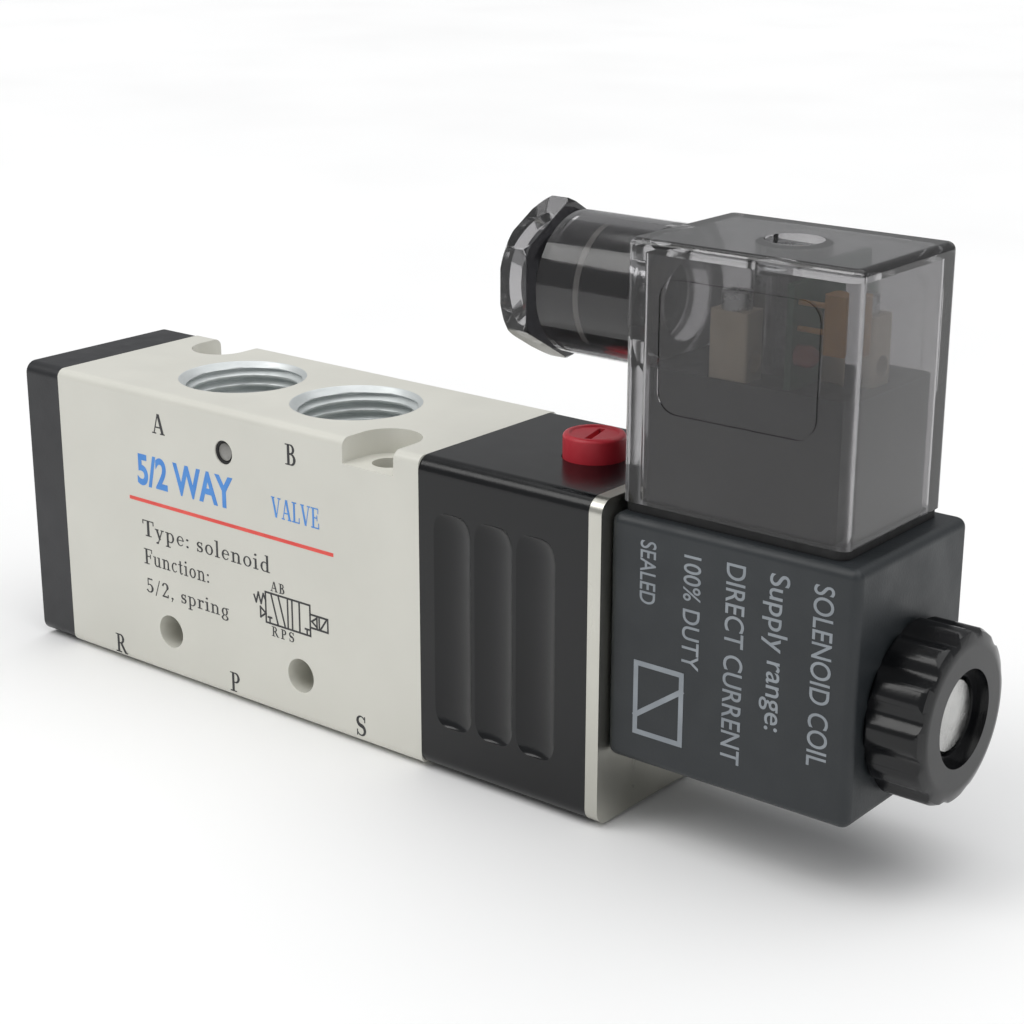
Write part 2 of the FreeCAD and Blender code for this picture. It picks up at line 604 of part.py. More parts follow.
def status_led():
    x, y, z, r = 81.6, -6.2, 58.6, 1.2
    dome = Part.makeSphere(r, V(x, y, z)).common(box(x - 0.1, 84, -8, -3, 56, 61))
    return fuse([cyl_x(BOARD_X1, x, r, y, z), dome])


def surge_suppressor():
    part = round_edges(box(84.0, 87.0, -7.9, -5.0, 59.5, 65.8), 0.6, Z)
    for z in (61.5, 64.3):       # leads
        part = part.fuse(cyl_x(BOARD_X1, 84.2, 0.3, -6.4, z))
    return part.removeSplitter()


# ---------------------------------------------------------------- cable gland
NUT_X0, NUT_X1, NUT_FLATS = 41.3, 45.2, 16.6
CABLE_R = 3.3
GLAND_FIT_R = SOCKET_R - 0.1                 # parts inside the socket


def cable_grommet():
    return ring_x(51.9, 58.6, CABLE_R, GLAND_FIT_R, GLAND_Z)


def gland_washer():
    return ring_x(51.1, 51.85, 4.3, GLAND_FIT_R, GLAND_Z)


def gland_nut():
    r = NUT_FLATS / math.sqrt(3)
    angles = [math.radians(60 * i + 30) for i in range(7)]
    corners = [V(NUT_X0, r * math.cos(a), GLAND_Z + r * math.sin(a)) for a in angles]
    nut = Part.Face(Part.makePolygon(corners)).extrude(V(NUT_X1 - NUT_X0, 0, 0))
    # bevel the hexagon's corners
    nut = nut.common(revolve_x([(NUT_X0, 0), (NUT_X0, 8.5), (NUT_X0 + 0.9, 9.5),
                                (NUT_X1 - 0.4, 9.5), (NUT_X1, 9.1), (NUT_X1, 0)], GLAND_Z))
    nut = fuse([nut, cyl_x(NUT_X1 - 0.2, 51.05, GLAND_FIT_R, 0, GLAND_Z)])
    nut = nut.cut(cyl_x(NUT_X0 - OVER, 52, 4.2, 0, GLAND_Z))
    return nut.cut(cone_x(NUT_X0 - 0.01, 5.4, 4.2, 1.2, 0, GLAND_Z))


# ---------------------------------------------------------------- build and export
PIECES = [
    valve_body, pilot_gallery_plug, end_cap, end_cap_gasket, end_cap_screws,
    spool, spool_seals, return_spring, pilot_housing, pilot_housing_gasket,
    piston, piston_seal, pilot_nozzle, override_button, override_oring, override_spring,
    retaining_plate, pilot_head_screws, armature_tube, tube_flange_oring, fixed_core,
    armature, armature_seal, armature_spring, coil_encapsulation, coil_bobbin, coil_winding,
    coil_yoke, coil_terminals, coil_screw_insert, coil_front_oring, coil_lock_washer, coil_nut,
    connector_gasket, connector_housing, terminal_block, terminal_clamps, terminal_screws,
    connector_screw, connector_screw_seal, led_board, status_led, surge_suppressor,
    cable_grommet, gland_washer, gland_nut]

os.makedirs("parts", exist_ok=True)
for build in PIECES:
    shape = build()
    if shape.ShapeType == "Compound" and len(shape.Solids) == 1:
        shape = shape.Solids[0]
    shape.exportStep("parts/" + build.__name__ + ".step")
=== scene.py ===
"""A 5/2 solenoid valve: ported body, spring end cap, pilot housing, coil and cable connector.

The spool axis runs along X, with the end cap at -X and the coil nut at +X. The printed front
faces -Y. Ports A and B open upwards (+Z), P, R and S downwards. The connector stands on the
coil with its gland facing -X. Sizes are in mm unless said otherwise; meshes are in metres.
"""
import itertools
import json
import math

import bmesh
import bpy
from mathutils import Matrix, Vector


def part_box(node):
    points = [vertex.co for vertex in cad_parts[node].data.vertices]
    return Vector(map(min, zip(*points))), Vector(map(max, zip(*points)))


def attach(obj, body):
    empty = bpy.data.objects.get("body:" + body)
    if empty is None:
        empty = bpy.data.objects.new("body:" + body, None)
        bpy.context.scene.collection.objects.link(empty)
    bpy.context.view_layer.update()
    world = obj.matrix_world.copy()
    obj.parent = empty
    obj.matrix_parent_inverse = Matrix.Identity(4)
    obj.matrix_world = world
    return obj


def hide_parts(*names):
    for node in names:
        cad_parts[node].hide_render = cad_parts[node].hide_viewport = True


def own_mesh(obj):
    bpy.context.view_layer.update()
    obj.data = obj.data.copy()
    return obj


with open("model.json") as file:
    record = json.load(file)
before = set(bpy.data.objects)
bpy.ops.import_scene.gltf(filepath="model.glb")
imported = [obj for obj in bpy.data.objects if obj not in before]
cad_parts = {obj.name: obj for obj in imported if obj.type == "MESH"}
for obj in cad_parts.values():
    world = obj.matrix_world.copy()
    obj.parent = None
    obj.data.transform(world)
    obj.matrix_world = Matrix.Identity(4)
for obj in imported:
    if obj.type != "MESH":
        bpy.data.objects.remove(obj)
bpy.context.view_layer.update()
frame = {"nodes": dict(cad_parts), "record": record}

MM = 0.001
MOUNTS = {mount["name"]: mount for mount in frame["record"]["mounts"]}


# ---------------------------------------------------------------- places from the CAD frame
class Box:
    """Bounds and centre of a CAD node; radius is half its height."""

    def __init__(self, node):
        low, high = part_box(node)
        self.x0, self.y0, self.z0 = (v * 1000 for v in low)
        self.x1, self.y1, self.z1 = (v * 1000 for v in high)
        self.cx = (self.x0 + self.x1) / 2
        self.cy = (self.y0 + self.y1) / 2
        self.cz = (self.z0 + self.z1) / 2
        self.radius = (self.z1 - self.z0) / 2


def mount_place(name):
    return [v * 1000 for v in MOUNTS[name]["pos_m"]]


# ---------------------------------------------------------------- mesh building
def link(data, name):
    piece = bpy.data.objects.new(name, data)
    bpy.context.scene.collection.objects.link(piece)
    return piece


def mesh_from(name, verts, faces):
    mesh = bpy.data.meshes.new(name)
    mesh.from_pydata([(x * MM, y * MM, z * MM) for x, y, z in verts], [], faces)
    mesh.update()
    return link(mesh, name)


def remove(piece):
    mesh = piece.data
    bpy.data.objects.remove(piece)
    bpy.data.meshes.remove(mesh)


def face_outwards(piece, merge=False):
    mesh = bmesh.new()
    mesh.from_mesh(piece.data)
    if merge:
        bmesh.ops.remove_doubles(mesh, verts=mesh.verts, dist=2e-9)
    bmesh.ops.recalc_face_normals(mesh, faces=mesh.faces)
    mesh.to_mesh(piece.data)
    mesh.free()
    return piece


def bake(piece):
    """Applies the modifiers."""
    depsgraph = bpy.context.evaluated_depsgraph_get()
    depsgraph.update()
    mesh = bpy.data.meshes.new_from_object(
        piece.evaluated_get(depsgraph), preserve_all_data_layers=True, depsgraph=depsgraph)
    old = piece.data
    piece.modifiers.clear()
    piece.data = mesh
    bpy.data.meshes.remove(old)
    mesh.name = piece.name


def boolean(piece, *tools, operation="DIFFERENCE"):
    """Applies the tools one by one and removes them."""
    for tool in tools:
        modifier = piece.modifiers.new("boolean", "BOOLEAN")
        modifier.operation = operation
        modifier.object = tool
        modifier.solver = "EXACT"
        bake(piece)
        remove(tool)


def bevel(piece, width, segments, angle=40):
    modifier = piece.modifiers.new("bevel", "BEVEL")
    modifier.width = width * MM
    modifier.segments = segments
    modifier.limit_method = "ANGLE"
    modifier.angle_limit = math.radians(angle)
    modifier.use_clamp_overlap = True
    modifier.miter_outer = "MITER_ARC"
    bake(piece)


def heal(piece):
    """Closes the hairline gaps a cut can leave along a facet."""
    mesh = bmesh.new()
    mesh.from_mesh(piece.data)
    bmesh.ops.remove_doubles(mesh, verts=mesh.verts, dist=1e-7)
    gaps = [edge for edge in mesh.edges if len(edge.link_faces) == 1]
    if gaps:
        filled = set(bmesh.ops.holes_fill(mesh, edges=gaps, sides=8)["faces"])
        for face in filled:
            for loop in face.loops:
                other = loop.link_loop_radial_next
                if other.face is not face and other.face not in filled:
                    if other.vert == loop.vert:
                        face.normal_flip()
                    break
        mesh.to_mesh(piece.data)
    mesh.free()


def shade(piece, angle, weighted):
    mesh = piece.data
    mesh.polygons.foreach_set("use_smooth", [True] * len(mesh.polygons))
    mesh.set_sharp_from_angle(angle=math.radians(angle))
    if weighted:
        modifier = piece.modifiers.new("weighted", "WEIGHTED_NORMAL")
        modifier.keep_sharp = True
        modifier.weight = 60
        bake(piece)


def join(name, pieces):
    verts = []
    faces = []
    for piece in pieces:
        base = len(verts)
        verts += [tuple(v.co / MM) for v in piece.data.vertices]
        faces += [tuple(i + base for i in face.vertices) for face in piece.data.polygons]
        remove(piece)
    return mesh_from(name, verts, faces)


def polar(radius, degrees):
    angle = math.radians(degrees)
    return radius * math.cos(angle), radius * math.sin(angle)


def rounded(u0, u1, v0, v1, radius, steps=8):
    """Outline of a rectangle with rounded corners."""
    points = []
    corners = ((u1 - radius, v1 - radius, 0), (u0 + radius, v1 - radius, 90),
               (u0 + radius, v0 + radius, 180), (u1 - radius, v0 + radius, 270))
    for u, v, first in corners:
        for i in range(steps + 1):
            du, dv = polar(radius, first + 90 * i / steps)
            points.append((u + du, v + dv))
    return points


def place(axis, along, u, v):
    return {"x": (along, u, v), "y": (u, along, v), "z": (u, v, along)}[axis]


def prism(points, start, end, axis, name="cutter"):
    n = len(points)
    verts = [place(axis, along, u, v) for along in (start, end) for u, v in points]
    faces = [tuple(range(n)), tuple(range(n, 2 * n))]
    faces += [(i, (i + 1) % n, n + (i + 1) % n, n + i) for i in range(n)]
    return face_outwards(mesh_from(name, verts, faces), merge=True)


def block(x0, x1, y0, y1, z0, z1, name="cutter"):
    return prism([(x0, y0), (x1, y0), (x1, y1), (x0, y1)], z0, z1, "z", name)


def lathe(profile, at, axis="x", sides=96, ring=False, name="cutter"):
    """Turns (position along the axis, radius) pairs. ring closes the profile on itself."""
    verts = []
    faces = []
    rows = []
    for along, radius in profile:
        base = len(verts)
        if radius < 1e-6:
            rows.append([base])
            verts.append(place(axis, along, at[0], at[1]))
            continue
        rows.append(range(base, base + sides))
        for k in range(sides):
            angle = 2 * math.pi * (k / sides)
            verts.append(place(axis, along, at[0] + radius * math.cos(angle),
                               at[1] + radius * math.sin(angle)))
    for i in range(len(rows) if ring else len(rows) - 1):
        here, after = rows[i], rows[(i + 1) % len(rows)]
        for k in range(sides):
            q = (k + 1) % sides
            if len(here) == 1:
                faces.append((here[0], after[k], after[q]))
            elif len(after) == 1:
                faces.append((here[k], after[0], here[q]))
            else:
                faces.append((here[k], after[k], after[q], here[q]))
    return face_outwards(mesh_from(name, verts, faces), merge=True)


def rod(start, end, radius, at, axis="x", sides=96):
    return lathe([(start, 0), (start, radius), (end, radius), (end, 0)], at, axis, sides)


# ---------------------------------------------------------------- materials
# name: darker sRGB, lighter sRGB, roughness range, metallic,
#       (bump noise scale, bump strength), colour noise scale; scales are per metre
LOOKS = {
    "cream_enamel": ((210, 209, 200), (215, 214, 205), (0.32, 0.42), 0, (700, 0.10), 60),
    "black_moulding": ((8, 9, 11), (13, 14, 17), (0.17, 0.25), 0, (3200, 0.05), 70),
    "cap_moulding": ((24, 25, 28), (31, 32, 36), (0.32, 0.44), 0, (3600, 0.08), 70),
    "coil_resin": ((36, 40, 43), (43, 47, 50), (0.40, 0.52), 0, (3000, 0.10), 60),
    "smoke_clear": ((162, 161, 163), (174, 173, 174), (0.04, 0.10), 0, (260, 0.02), 50),
    # darker smoke for the gland nut's neck: painted shade, the nut itself is one smoke plastic
    "smoke_deep": ((17, 17, 19), (24, 24, 26), (0.10, 0.18), 0, (260, 0.02), 50),
    "red_moulding": ((200, 44, 58), (212, 56, 70), (0.34, 0.46), 0, (2600, 0.06), 120),
    "nickel_plate": ((188, 187, 178), (202, 201, 193), (0.26, 0.40), 1.0, (1500, 0.05), 80),
    "zinc_screw": ((176, 178, 180), (200, 201, 200), (0.22, 0.36), 1.0, (1800, 0.06), 150),
    "plug_steel": ((128, 127, 124), (158, 157, 153), (0.34, 0.50), 0.8, (1800, 0.06), 300),
    "spring_wire": ((150, 153, 158), (178, 180, 184), (0.20, 0.34), 1.0, (2200, 0.05), 300),
    "turned_steel": ((178, 178, 176), (198, 198, 196), (0.16, 0.30), 1.0, (1600, 0.05), 120),
    "bare_thread": ((204, 209, 209), (218, 222, 222), (0.38, 0.52), 0.45, (1900, 0.06), 140),
    "anodised_spool": ((172, 178, 190), (190, 196, 206), (0.20, 0.32), 1.0, (1500, 0.04), 120),
    "turned_brass": ((196, 158, 88), (214, 178, 106), (0.20, 0.34), 1.0, (1600, 0.05), 150),
    "tinned_copper": ((232, 216, 190), (244, 230, 206), (0.34, 0.48), 0.35, (1700, 0.06), 160),
    "enamelled_copper": ((168, 84, 40), (192, 104, 52), (0.18, 0.30), 1.0, (1200, 0.05), 200),
    "black_rubber": ((20, 20, 21), (30, 30, 31), (0.55, 0.72), 0, (2400, 0.18), 150),
    "white_moulding": ((222, 219, 208), (232, 229, 220), (0.35, 0.48), 0, (2600, 0.06), 90),
    "block_moulding": ((24, 25, 27), (32, 33, 36), (0.36, 0.50), 0, (2600, 0.08), 90),
    "tan_disc": ((206, 146, 62), (224, 168, 84), (0.38, 0.52), 0, (2200, 0.12), 200),
    "board_green": ((26, 74, 44), (36, 92, 54), (0.35, 0.50), 0, (1500, 0.05), 260),
    "led_clear_red": ((232, 110, 90), (242, 140, 118), (0.05, 0.10), 0, (400, 0.02), 80),
    "ink_black": ((42, 42, 44), (52, 52, 54), (0.45, 0.60), 0, (2200, 0.05), 300),
    "ink_blue": ((66, 134, 212), (80, 146, 220), (0.40, 0.55), 0, (2200, 0.05), 300),
    "ink_red": ((226, 72, 64), (234, 86, 76), (0.40, 0.55), 0, (2200, 0.05), 300),
    "ink_grey": ((132, 138, 144), (144, 150, 156), (0.45, 0.60), 0, (2200, 0.05), 300),
    "studio_floor": ((246, 246, 246), (250, 250, 250), (0.55, 0.70), 0, (40, 0.01), 3),
}
# pattern scale by axis, where the grain is drawn out
STRETCH = {"nickel_plate": (1, 1, 0.18), "turned_steel": (6, 1, 1),
           "bare_thread": (1, 1, 5), "anodised_spool": (6, 1, 1)}
# shader values that differ from SHADER_BASE
SHADER_BASE = {"Coat Weight": 0, "Coat Roughness": 0.12, "IOR": 1.5,
               "Transmission Weight": 0, "Specular IOR Level": 0.5}
SHADER_OWN = {
    "cream_enamel": {"Coat Weight": 0.12},
    "black_moulding": {"Specular IOR Level": 0.40},
    "coil_resin": {"Specular IOR Level": 0.45},
    "smoke_clear": {"Transmission Weight": 0.97, "IOR": 1.46},
    "smoke_deep": {"Transmission Weight": 0.5, "IOR": 1.46},
    "enamelled_copper": {"Coat Weight": 0.4},
    "board_green": {"Coat Weight": 0.3},
    "led_clear_red": {"Transmission Weight": 0.6},
}


def srgb(colour):
    linear = []
    for value in colour:
        value = value / 255.0
        linear.append(value / 12.92 if value <= 0.04045 else ((value + 0.055) / 1.055) ** 2.4)
    return (*linear, 1.0)


def add_node(tree, kind, inputs=None):
    node = tree.nodes.new(kind)
    for socket, value in (inputs or {}).items():
        node.inputs[socket].default_value = value
    return node


def material(name, dark, light, rough, metal, grain, tone):
    """Two-tone noise colour, noise roughness and a fine bump."""
    made = bpy.data.materials.new(name)
    made.use_nodes = True
    tree = made.node_tree
    tree.nodes.clear()
    join_up = tree.links.new
    output = add_node(tree, "ShaderNodeOutputMaterial")
    values = SHADER_BASE | SHADER_OWN.get(name, {}) | {"Metallic": metal}
    shader = add_node(tree, "ShaderNodeBsdfPrincipled", values)
    join_up(shader.outputs[0], output.inputs[0])
    coords = add_node(tree, "ShaderNodeTexCoord")
    mapping = add_node(tree, "ShaderNodeMapping", {"Scale": STRETCH.get(name, (1, 1, 1))})
    join_up(coords.outputs["Object"], mapping.inputs["Vector"])

    def noise(scale, detail):
        texture = add_node(tree, "ShaderNodeTexNoise", {"Scale": scale, "Detail": detail})
        join_up(mapping.outputs[0], texture.inputs["Vector"])
        return texture.outputs["Fac"]

    pattern = noise(scale=tone, detail=5)
    ramp = add_node(tree, "ShaderNodeValToRGB")
    for stop, position, colour in zip(ramp.color_ramp.elements, (0.35, 0.65), (dark, light)):
        stop.position = position
        stop.color = srgb(colour)
    join_up(pattern, ramp.inputs[0])
    join_up(ramp.outputs[0], shader.inputs["Base Color"])

    pattern = noise(scale=tone * 4.3, detail=4)
    spread = add_node(tree, "ShaderNodeMapRange", {
        "From Min": 0.3, "From Max": 0.7, "To Min": rough[0], "To Max": rough[1]})
    join_up(pattern, spread.inputs["Value"])
    join_up(spread.outputs[0], shader.inputs["Roughness"])

    pattern = noise(scale=grain[0], detail=3)
    bump = add_node(tree, "ShaderNodeBump", {"Strength": grain[1], "Distance": 0.0002})
    join_up(pattern, bump.inputs["Height"])
    join_up(bump.outputs[0], shader.inputs["Normal"])
    return made


MATERIALS = {name: material(name, *look) for name, look in LOOKS.items()}


def dress(piece, look, replaces=None, body="valve"):
    piece.data.materials.clear()
    piece.data.materials.append(MATERIALS[look])
    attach(piece, body)
    if replaces:
        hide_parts(replaces)


def finish(piece, look, replaces=None, body="valve", angle=34, weighted=True):
    shade(piece, angle, weighted)
    dress(piece, look, replaces, body)


# ---------------------------------------------------------------- valve body
body = Box("valve_body")
spool = Box("spool")
AXIS = (spool.cy, spool.cz)         # spool and armature axis as (y, z)
BORE = Box("spool_seals").radius + 0.05
GROOVE_RADIUS = 7.5                 # the wide rings of the bore, one at each port
THREAD_HEIGHT = 0.855
THREAD_PITCH = 1.337
SLEEVE_WALL = 0.35                  # metal behind the thread roots
# (core radius, depth, slot half length in x, slot half width in y, bore groove width)
LARGE = (MOUNTS["port_a"]["dims"]["r_mm"], 11, 2, 5, 5.0)
SMALL = (MOUNTS["port_r"]["dims"]["r_mm"], 9, 1.8, 4, 4.0)
# port: (side it opens to, size)
PORTS = {"a": (1, LARGE), "b": (1, LARGE), "p": (-1, LARGE), "r": (-1, SMALL), "s": (-1, SMALL)}
PORT_X = {port: mount_place("port_" + port)[0] for port in PORTS}
PORT_FACE = {1: body.z1, -1: body.z0}

shell = prism(rounded(body.y0, body.y1, body.z0, body.z1, 1.2), body.x0, body.x1, "x",
              "valve_body_shell")
profile = [(body.x0 - 1, 0), (body.x0 - 1, BORE)]
for port in "rapbs":
    left = PORT_X[port] - PORTS[port][1][4] / 2
    right = PORT_X[port] + PORTS[port][1][4] / 2
    profile += [(left, BORE), (left, GROOVE_RADIUS), (right, GROOVE_RADIUS), (right, BORE)]
profile += [(body.x1 + 1, BORE), (body.x1 + 1, 0)]
cutters = [lathe(profile, AXIS)]
for port, (up, (core, depth, half_x, half_y, _)) in PORTS.items():
    x = PORT_X[port]
    face = PORT_FACE[up]
    cutters.append(rod(*sorted((face - up * depth, face + up)),
                       core + THREAD_HEIGHT + SLEEVE_WALL, (x, 0), "z"))
    cutters.append(block(x - half_x, x + half_x, -half_y, half_y,
                         *sorted((AXIS[1], face - up * (depth - 0.5)))))

side_holes = MOUNTS["side_mounting_holes"]["dims"]
side_x, _, side_z = mount_place("side_mounting_holes")
for side in (-1, 1):
    cutters.append(rod(body.y0 - 1, body.y1 + 1, side_holes["hole_r_mm"],
                       (side_x + side * side_holes["spacing_x_mm"] / 2, side_z), "y", 64))

manifold = MOUNTS["manifold_screw_holes"]["dims"]
MANIFOLD_X = 24.8
MANIFOLD_Y = math.sqrt((manifold["pcd_mm"] / 2) ** 2 - MANIFOLD_X ** 2)
POCKET_RADIUS = 4.2
POCKET_DEPTH = 3.2
POCKET_REACH = 15.0                 # past the side faces
for side in (1, -1):
    hole_x, hole_y = side * MANIFOLD_X, -side * MANIFOLD_Y
    cutters.append(rod(body.z0 - 1, body.z1 - 2, manifold["hole_r_mm"], (hole_x, hole_y),
                       "z", 64))
    # head pocket: a half round milled through to the side face
    arc = [polar(POCKET_RADIUS, degrees) for degrees in range(0, 181, 4)]
    outline = [(hole_x + x, hole_y + side * y) for x, y in arc]
    outline += [(hole_x - POCKET_RADIUS, -side * POCKET_REACH),
                (hole_x + POCKET_RADIUS, -side * POCKET_REACH)]
    cutters.append(prism(outline, body.z1 - POCKET_DEPTH, body.z1 + 1, "z"))

plug = Box("pilot_gallery_plug")
cutters.append(rod(body.y0 - 1, plug.y1, 1.6, (plug.cx, plug.cz), "y", 64))
boolean(shell, *cutters)
bevel(shell, 0.16, 2, 50)
finish(shell, "cream_enamel", "valve_body")


def thread_sleeve(name, x, face, up, minor, depth, sides=96, per_pitch=14):
    """Wall of a tapped port as a thin closed sleeve: lead-in chamfer, thread, plain end."""
    major = minor + THREAD_HEIGHT
    outer = major + SLEEVE_WALL
    rows = int(depth / (THREAD_PITCH / per_pitch))
    turns = [2 * math.pi * k / sides for k in range(sides)]

    def wall(down, turn):
        phase = ((down / THREAD_PITCH) - turn / (2 * math.pi)) % 1.0
        # 1 at the crest, 0 at the root, with both made flat
        ridge = min(1.0, max(0.0, (abs(phase - 0.5) * 2 - 0.08) / 0.76))
        radius = major - (major - minor) * ridge
        if down > depth - 1.6:
            radius += (minor - radius) * min(1.0, (down - depth + 1.6) / 0.5)
        return max(radius, outer - 0.04 - down)

    verts = []
    for i in range(rows + 1):
        down = depth * i / rows
        for turn in turns:
            radius = wall(down, turn)
            verts.append((x + radius * math.cos(turn), radius * math.sin(turn),
                          face - up * down))
    base = len(verts)
    radius = outer - 0.01
    verts += [(x + radius * math.cos(turn), radius * math.sin(turn), face - up * down)
              for down in (0.0, depth) for turn in turns]
    around = [(k, (k + 1) % sides) for k in range(sides)]
    faces = [(i * sides + k, i * sides + q, (i + 1) * sides + q, (i + 1) * sides + k)
             for i in range(rows) for k, q in around]
    for k, q in around:
        faces.append((base + k, base + sides + k, base + sides + q, base + q))
        faces.append((k, base + k, base + q, q))
        faces.append((rows * sides + k, rows * sides + q, base + sides + q, base + sides + k))
    return face_outwards(mesh_from(name, verts, faces))


for port, (up, (core, depth, *_)) in PORTS.items():
    sleeve = thread_sleeve(f"port_{port}_thread", PORT_X[port], PORT_FACE[up], up, core,
                           depth - 0.02)
    finish(sleeve, "bare_thread", angle=50, weighted=False)

# gallery plug on the front face: shallow dome in a dark ring
DOME_RADIUS = 4.2
dome = [(plug.y0 - 0.17 + DOME_RADIUS - y, radius)
        for y, radius in (polar(DOME_RADIUS, degrees) for degrees in range(0, 18, 2))
        if radius < 1.42]
stem = [(plug.y0 + 0.6, 1.44), (plug.y0 + 0.7, 1.5), (plug.y1, 1.5), (plug.y1, 0)]
finish(lathe(dome + stem, (plug.cx, plug.cz), "y", 64, name="gallery_plug"),
       "plug_steel", "pilot_gallery_plug", angle=50)
# distance behind the plug's front, radius
PLUG_RING = ((0.02, 1.28), (-0.13, 1.50), (-0.16, 1.59), (0.65, 1.59), (0.65, 1.45), (0.3, 1.28))
finish(lathe([(plug.y0 + y, radius) for y, radius in PLUG_RING], (plug.cx, plug.cz), "y", 64,
             ring=True, name="gallery_plug_shadow_ring"),
       "black_rubber", angle=50)

# ---------------------------------------------------------------- end cap and its screws
cap = Box("end_cap")
cap_screws = Box("end_cap_screws")
HEAD_RADIUS = 2.75
SPRING_SEAT = cap.x1 - 4.6
heads = [(cap_screws.y1 - HEAD_RADIUS, cap_screws.z1 - HEAD_RADIUS),
         (cap_screws.y0 + HEAD_RADIUS, cap_screws.z0 + HEAD_RADIUS)]
moulding = prism(rounded(cap.y0, cap.y1, cap.z0, cap.z1, 1.6), cap.x0, cap.x1, "x",
                 "end_cap_moulding")
cutters = [rod(SPRING_SEAT, cap.x1 + 1, 3.5, AXIS, sides=64),
           rod(cap.x1 - 0.08, cap.x1 + 1, 6.2, AXIS, sides=64)]
for head in heads:
    cutters += [rod(cap.x0 - 1, cap.x0 + 2.6, 3.05, head, sides=64),
                rod(cap.x0 - 1, cap.x1 + 1, 1.7, head, sides=48)]
boolean(moulding, *cutters)
bevel(moulding, 0.3, 3)
finish(moulding, "cap_moulding", "end_cap")


def cross_screw(head_x, tip_x, y, z):
    """Cross-recess cheese-head screw along X, head facing -X."""
    head_height, shank, pitch = 2.2, 1.47, 0.5
    profile = [(head_x, 0), (head_x, HEAD_RADIUS - 0.5), (head_x + 0.12, HEAD_RADIUS - 0.22),
               (head_x + 0.4, HEAD_RADIUS), (head_x + head_height, HEAD_RADIUS),
               (head_x + head_height, shank - 0.12)]
    for i in range(int((tip_x - head_x - head_height - 1.0) / pitch)):
        x = head_x + (head_height + 0.5 + i * pitch)
        profile += [(x, shank - 0.22), (x + pitch / 2, shank)]
    profile += [(tip_x - 0.4, shank - 0.22), (tip_x, shank - 0.6), (tip_x, 0)]
    screw = lathe(profile, (y, z), sides=48)
    for half_y, half_z in ((0.32, 1.6), (1.6, 0.32)):
        boolean(screw, block(head_x - 1, head_x + 1.1, y - half_y, y + half_y,
                             z - half_z, z + half_z))
    return screw


screws = [cross_screw(cap_screws.x0, cap_screws.x1, *head) for head in heads]
finish(join("end_cap_screw_pair", screws), "zinc_screw", "end_cap_screws",
       angle=40, weighted=False)

# ---------------------------------------------------------------- pilot housing
pilot = Box("pilot_housing")
button = Box("override_button")
BUTTON_AT = (button.cx, button.cy)
BUTTON_RADIUS = (button.x1 - button.x0) / 2
BUTTON_SEAT = 32.2                  # floor of the pocket under the button head
PISTON_END = 44.6
TUBE_SEAT = 56.3                    # floor of the wide recess on the coil side

housing = prism(rounded(pilot.y0, pilot.y1, pilot.z0, pilot.z1, 1.9), pilot.x0, pilot.x1, "x",
                "pilot_housing_moulding")
boolean(housing,
        rod(pilot.x0 - 1, PISTON_END, Box("piston").radius + 0.1, AXIS),
        rod(50.0, pilot.x1 + 1, 6.5, AXIS, sides=64),
        rod(TUBE_SEAT, pilot.x1 + 1, 8.1, AXIS),
        rod(22.6, pilot.z1 + 1, 2.65, BUTTON_AT, "z", 48),
        rod(BUTTON_SEAT, pilot.z1 + 1, BUTTON_RADIUS + 0.12, BUTTON_AT, "z"))

# three broad shallow flutes with rounded ends on the front and the back
FLUTE_X = (38.25, 44.55, 50.85)
FLUTE_DEPTH = 0.7
FLUTE_WIDTH = 5.8
FLUTE_Z0, FLUTE_Z1 = 6.2, 33.8
FLUTE_RUNOUT = 2.6
FLUTE_RADIUS = ((FLUTE_WIDTH / 2) ** 2 + FLUTE_DEPTH ** 2) / (2 * FLUTE_DEPTH)


def flute_inset(part):
    return FLUTE_RUNOUT * (1 - math.cos(math.pi / 2 * part))


def flute_radius(part):
    return FLUTE_RADIUS - FLUTE_DEPTH * (1 - math.sin(math.pi / 2 * part))


parts = [i / 12 for i in range(13)]
profile = [(FLUTE_Z0, 0)]
profile += [(FLUTE_Z0 + flute_inset(part), flute_radius(part)) for part in parts]
profile += [(FLUTE_Z1 - flute_inset(1 - part), flute_radius(1 - part)) for part in parts]
profile += [(FLUTE_Z1, 0)]
for x in FLUTE_X:
    for side, y in ((-1, pilot.y0), (1, pilot.y1)):
        boolean(housing, lathe(profile, (x, y + side * (FLUTE_RADIUS - FLUTE_DEPTH)), "z", 320))
bevel(housing, 0.22, 5)
heal(housing)
finish(housing, "black_moulding", "pilot_housing", angle=19)

# override button: waisted stem, disc head with a slot turned 15 degrees
top = button.z1
bottom = button.z0
profile = [(bottom, 0), (bottom, 2.2), (bottom + 0.4, 2.6), (bottom + 2.4, 2.6),
           (bottom + 2.4, 1.9), (bottom + 4.2, 1.9), (bottom + 4.2, 2.6), (top - 5.0, 2.6)]
# distance below the top, distance inside the rim
HEAD_PROFILE = ((5.0, 0.2), (4.8, 0), (0.45, 0), (0.3, 0.06), (0.1, 0.2), (0, 0.45), (0, 0.8),
                (0.25, 0.95))
profile += [(top - down, BUTTON_RADIUS - inset) for down, inset in HEAD_PROFILE]
profile += [(top - 0.25, 0)]
override = lathe(profile, BUTTON_AT, "z", name="override_cap")
turn_x, turn_y = polar(1, 15)
slot_corners = ((-0.4, -2.5), (0.4, -2.5), (0.4, 2.5), (-0.4, 2.5))
boolean(override, prism([(button.cx + u * turn_x - v * turn_y,
                          button.cy + u * turn_y + v * turn_x) for u, v in slot_corners],
                        top - 1.0, top + 1, "z"))
bevel(override, 0.07, 2)
finish(override, "red_moulding", "override_button", body="override")

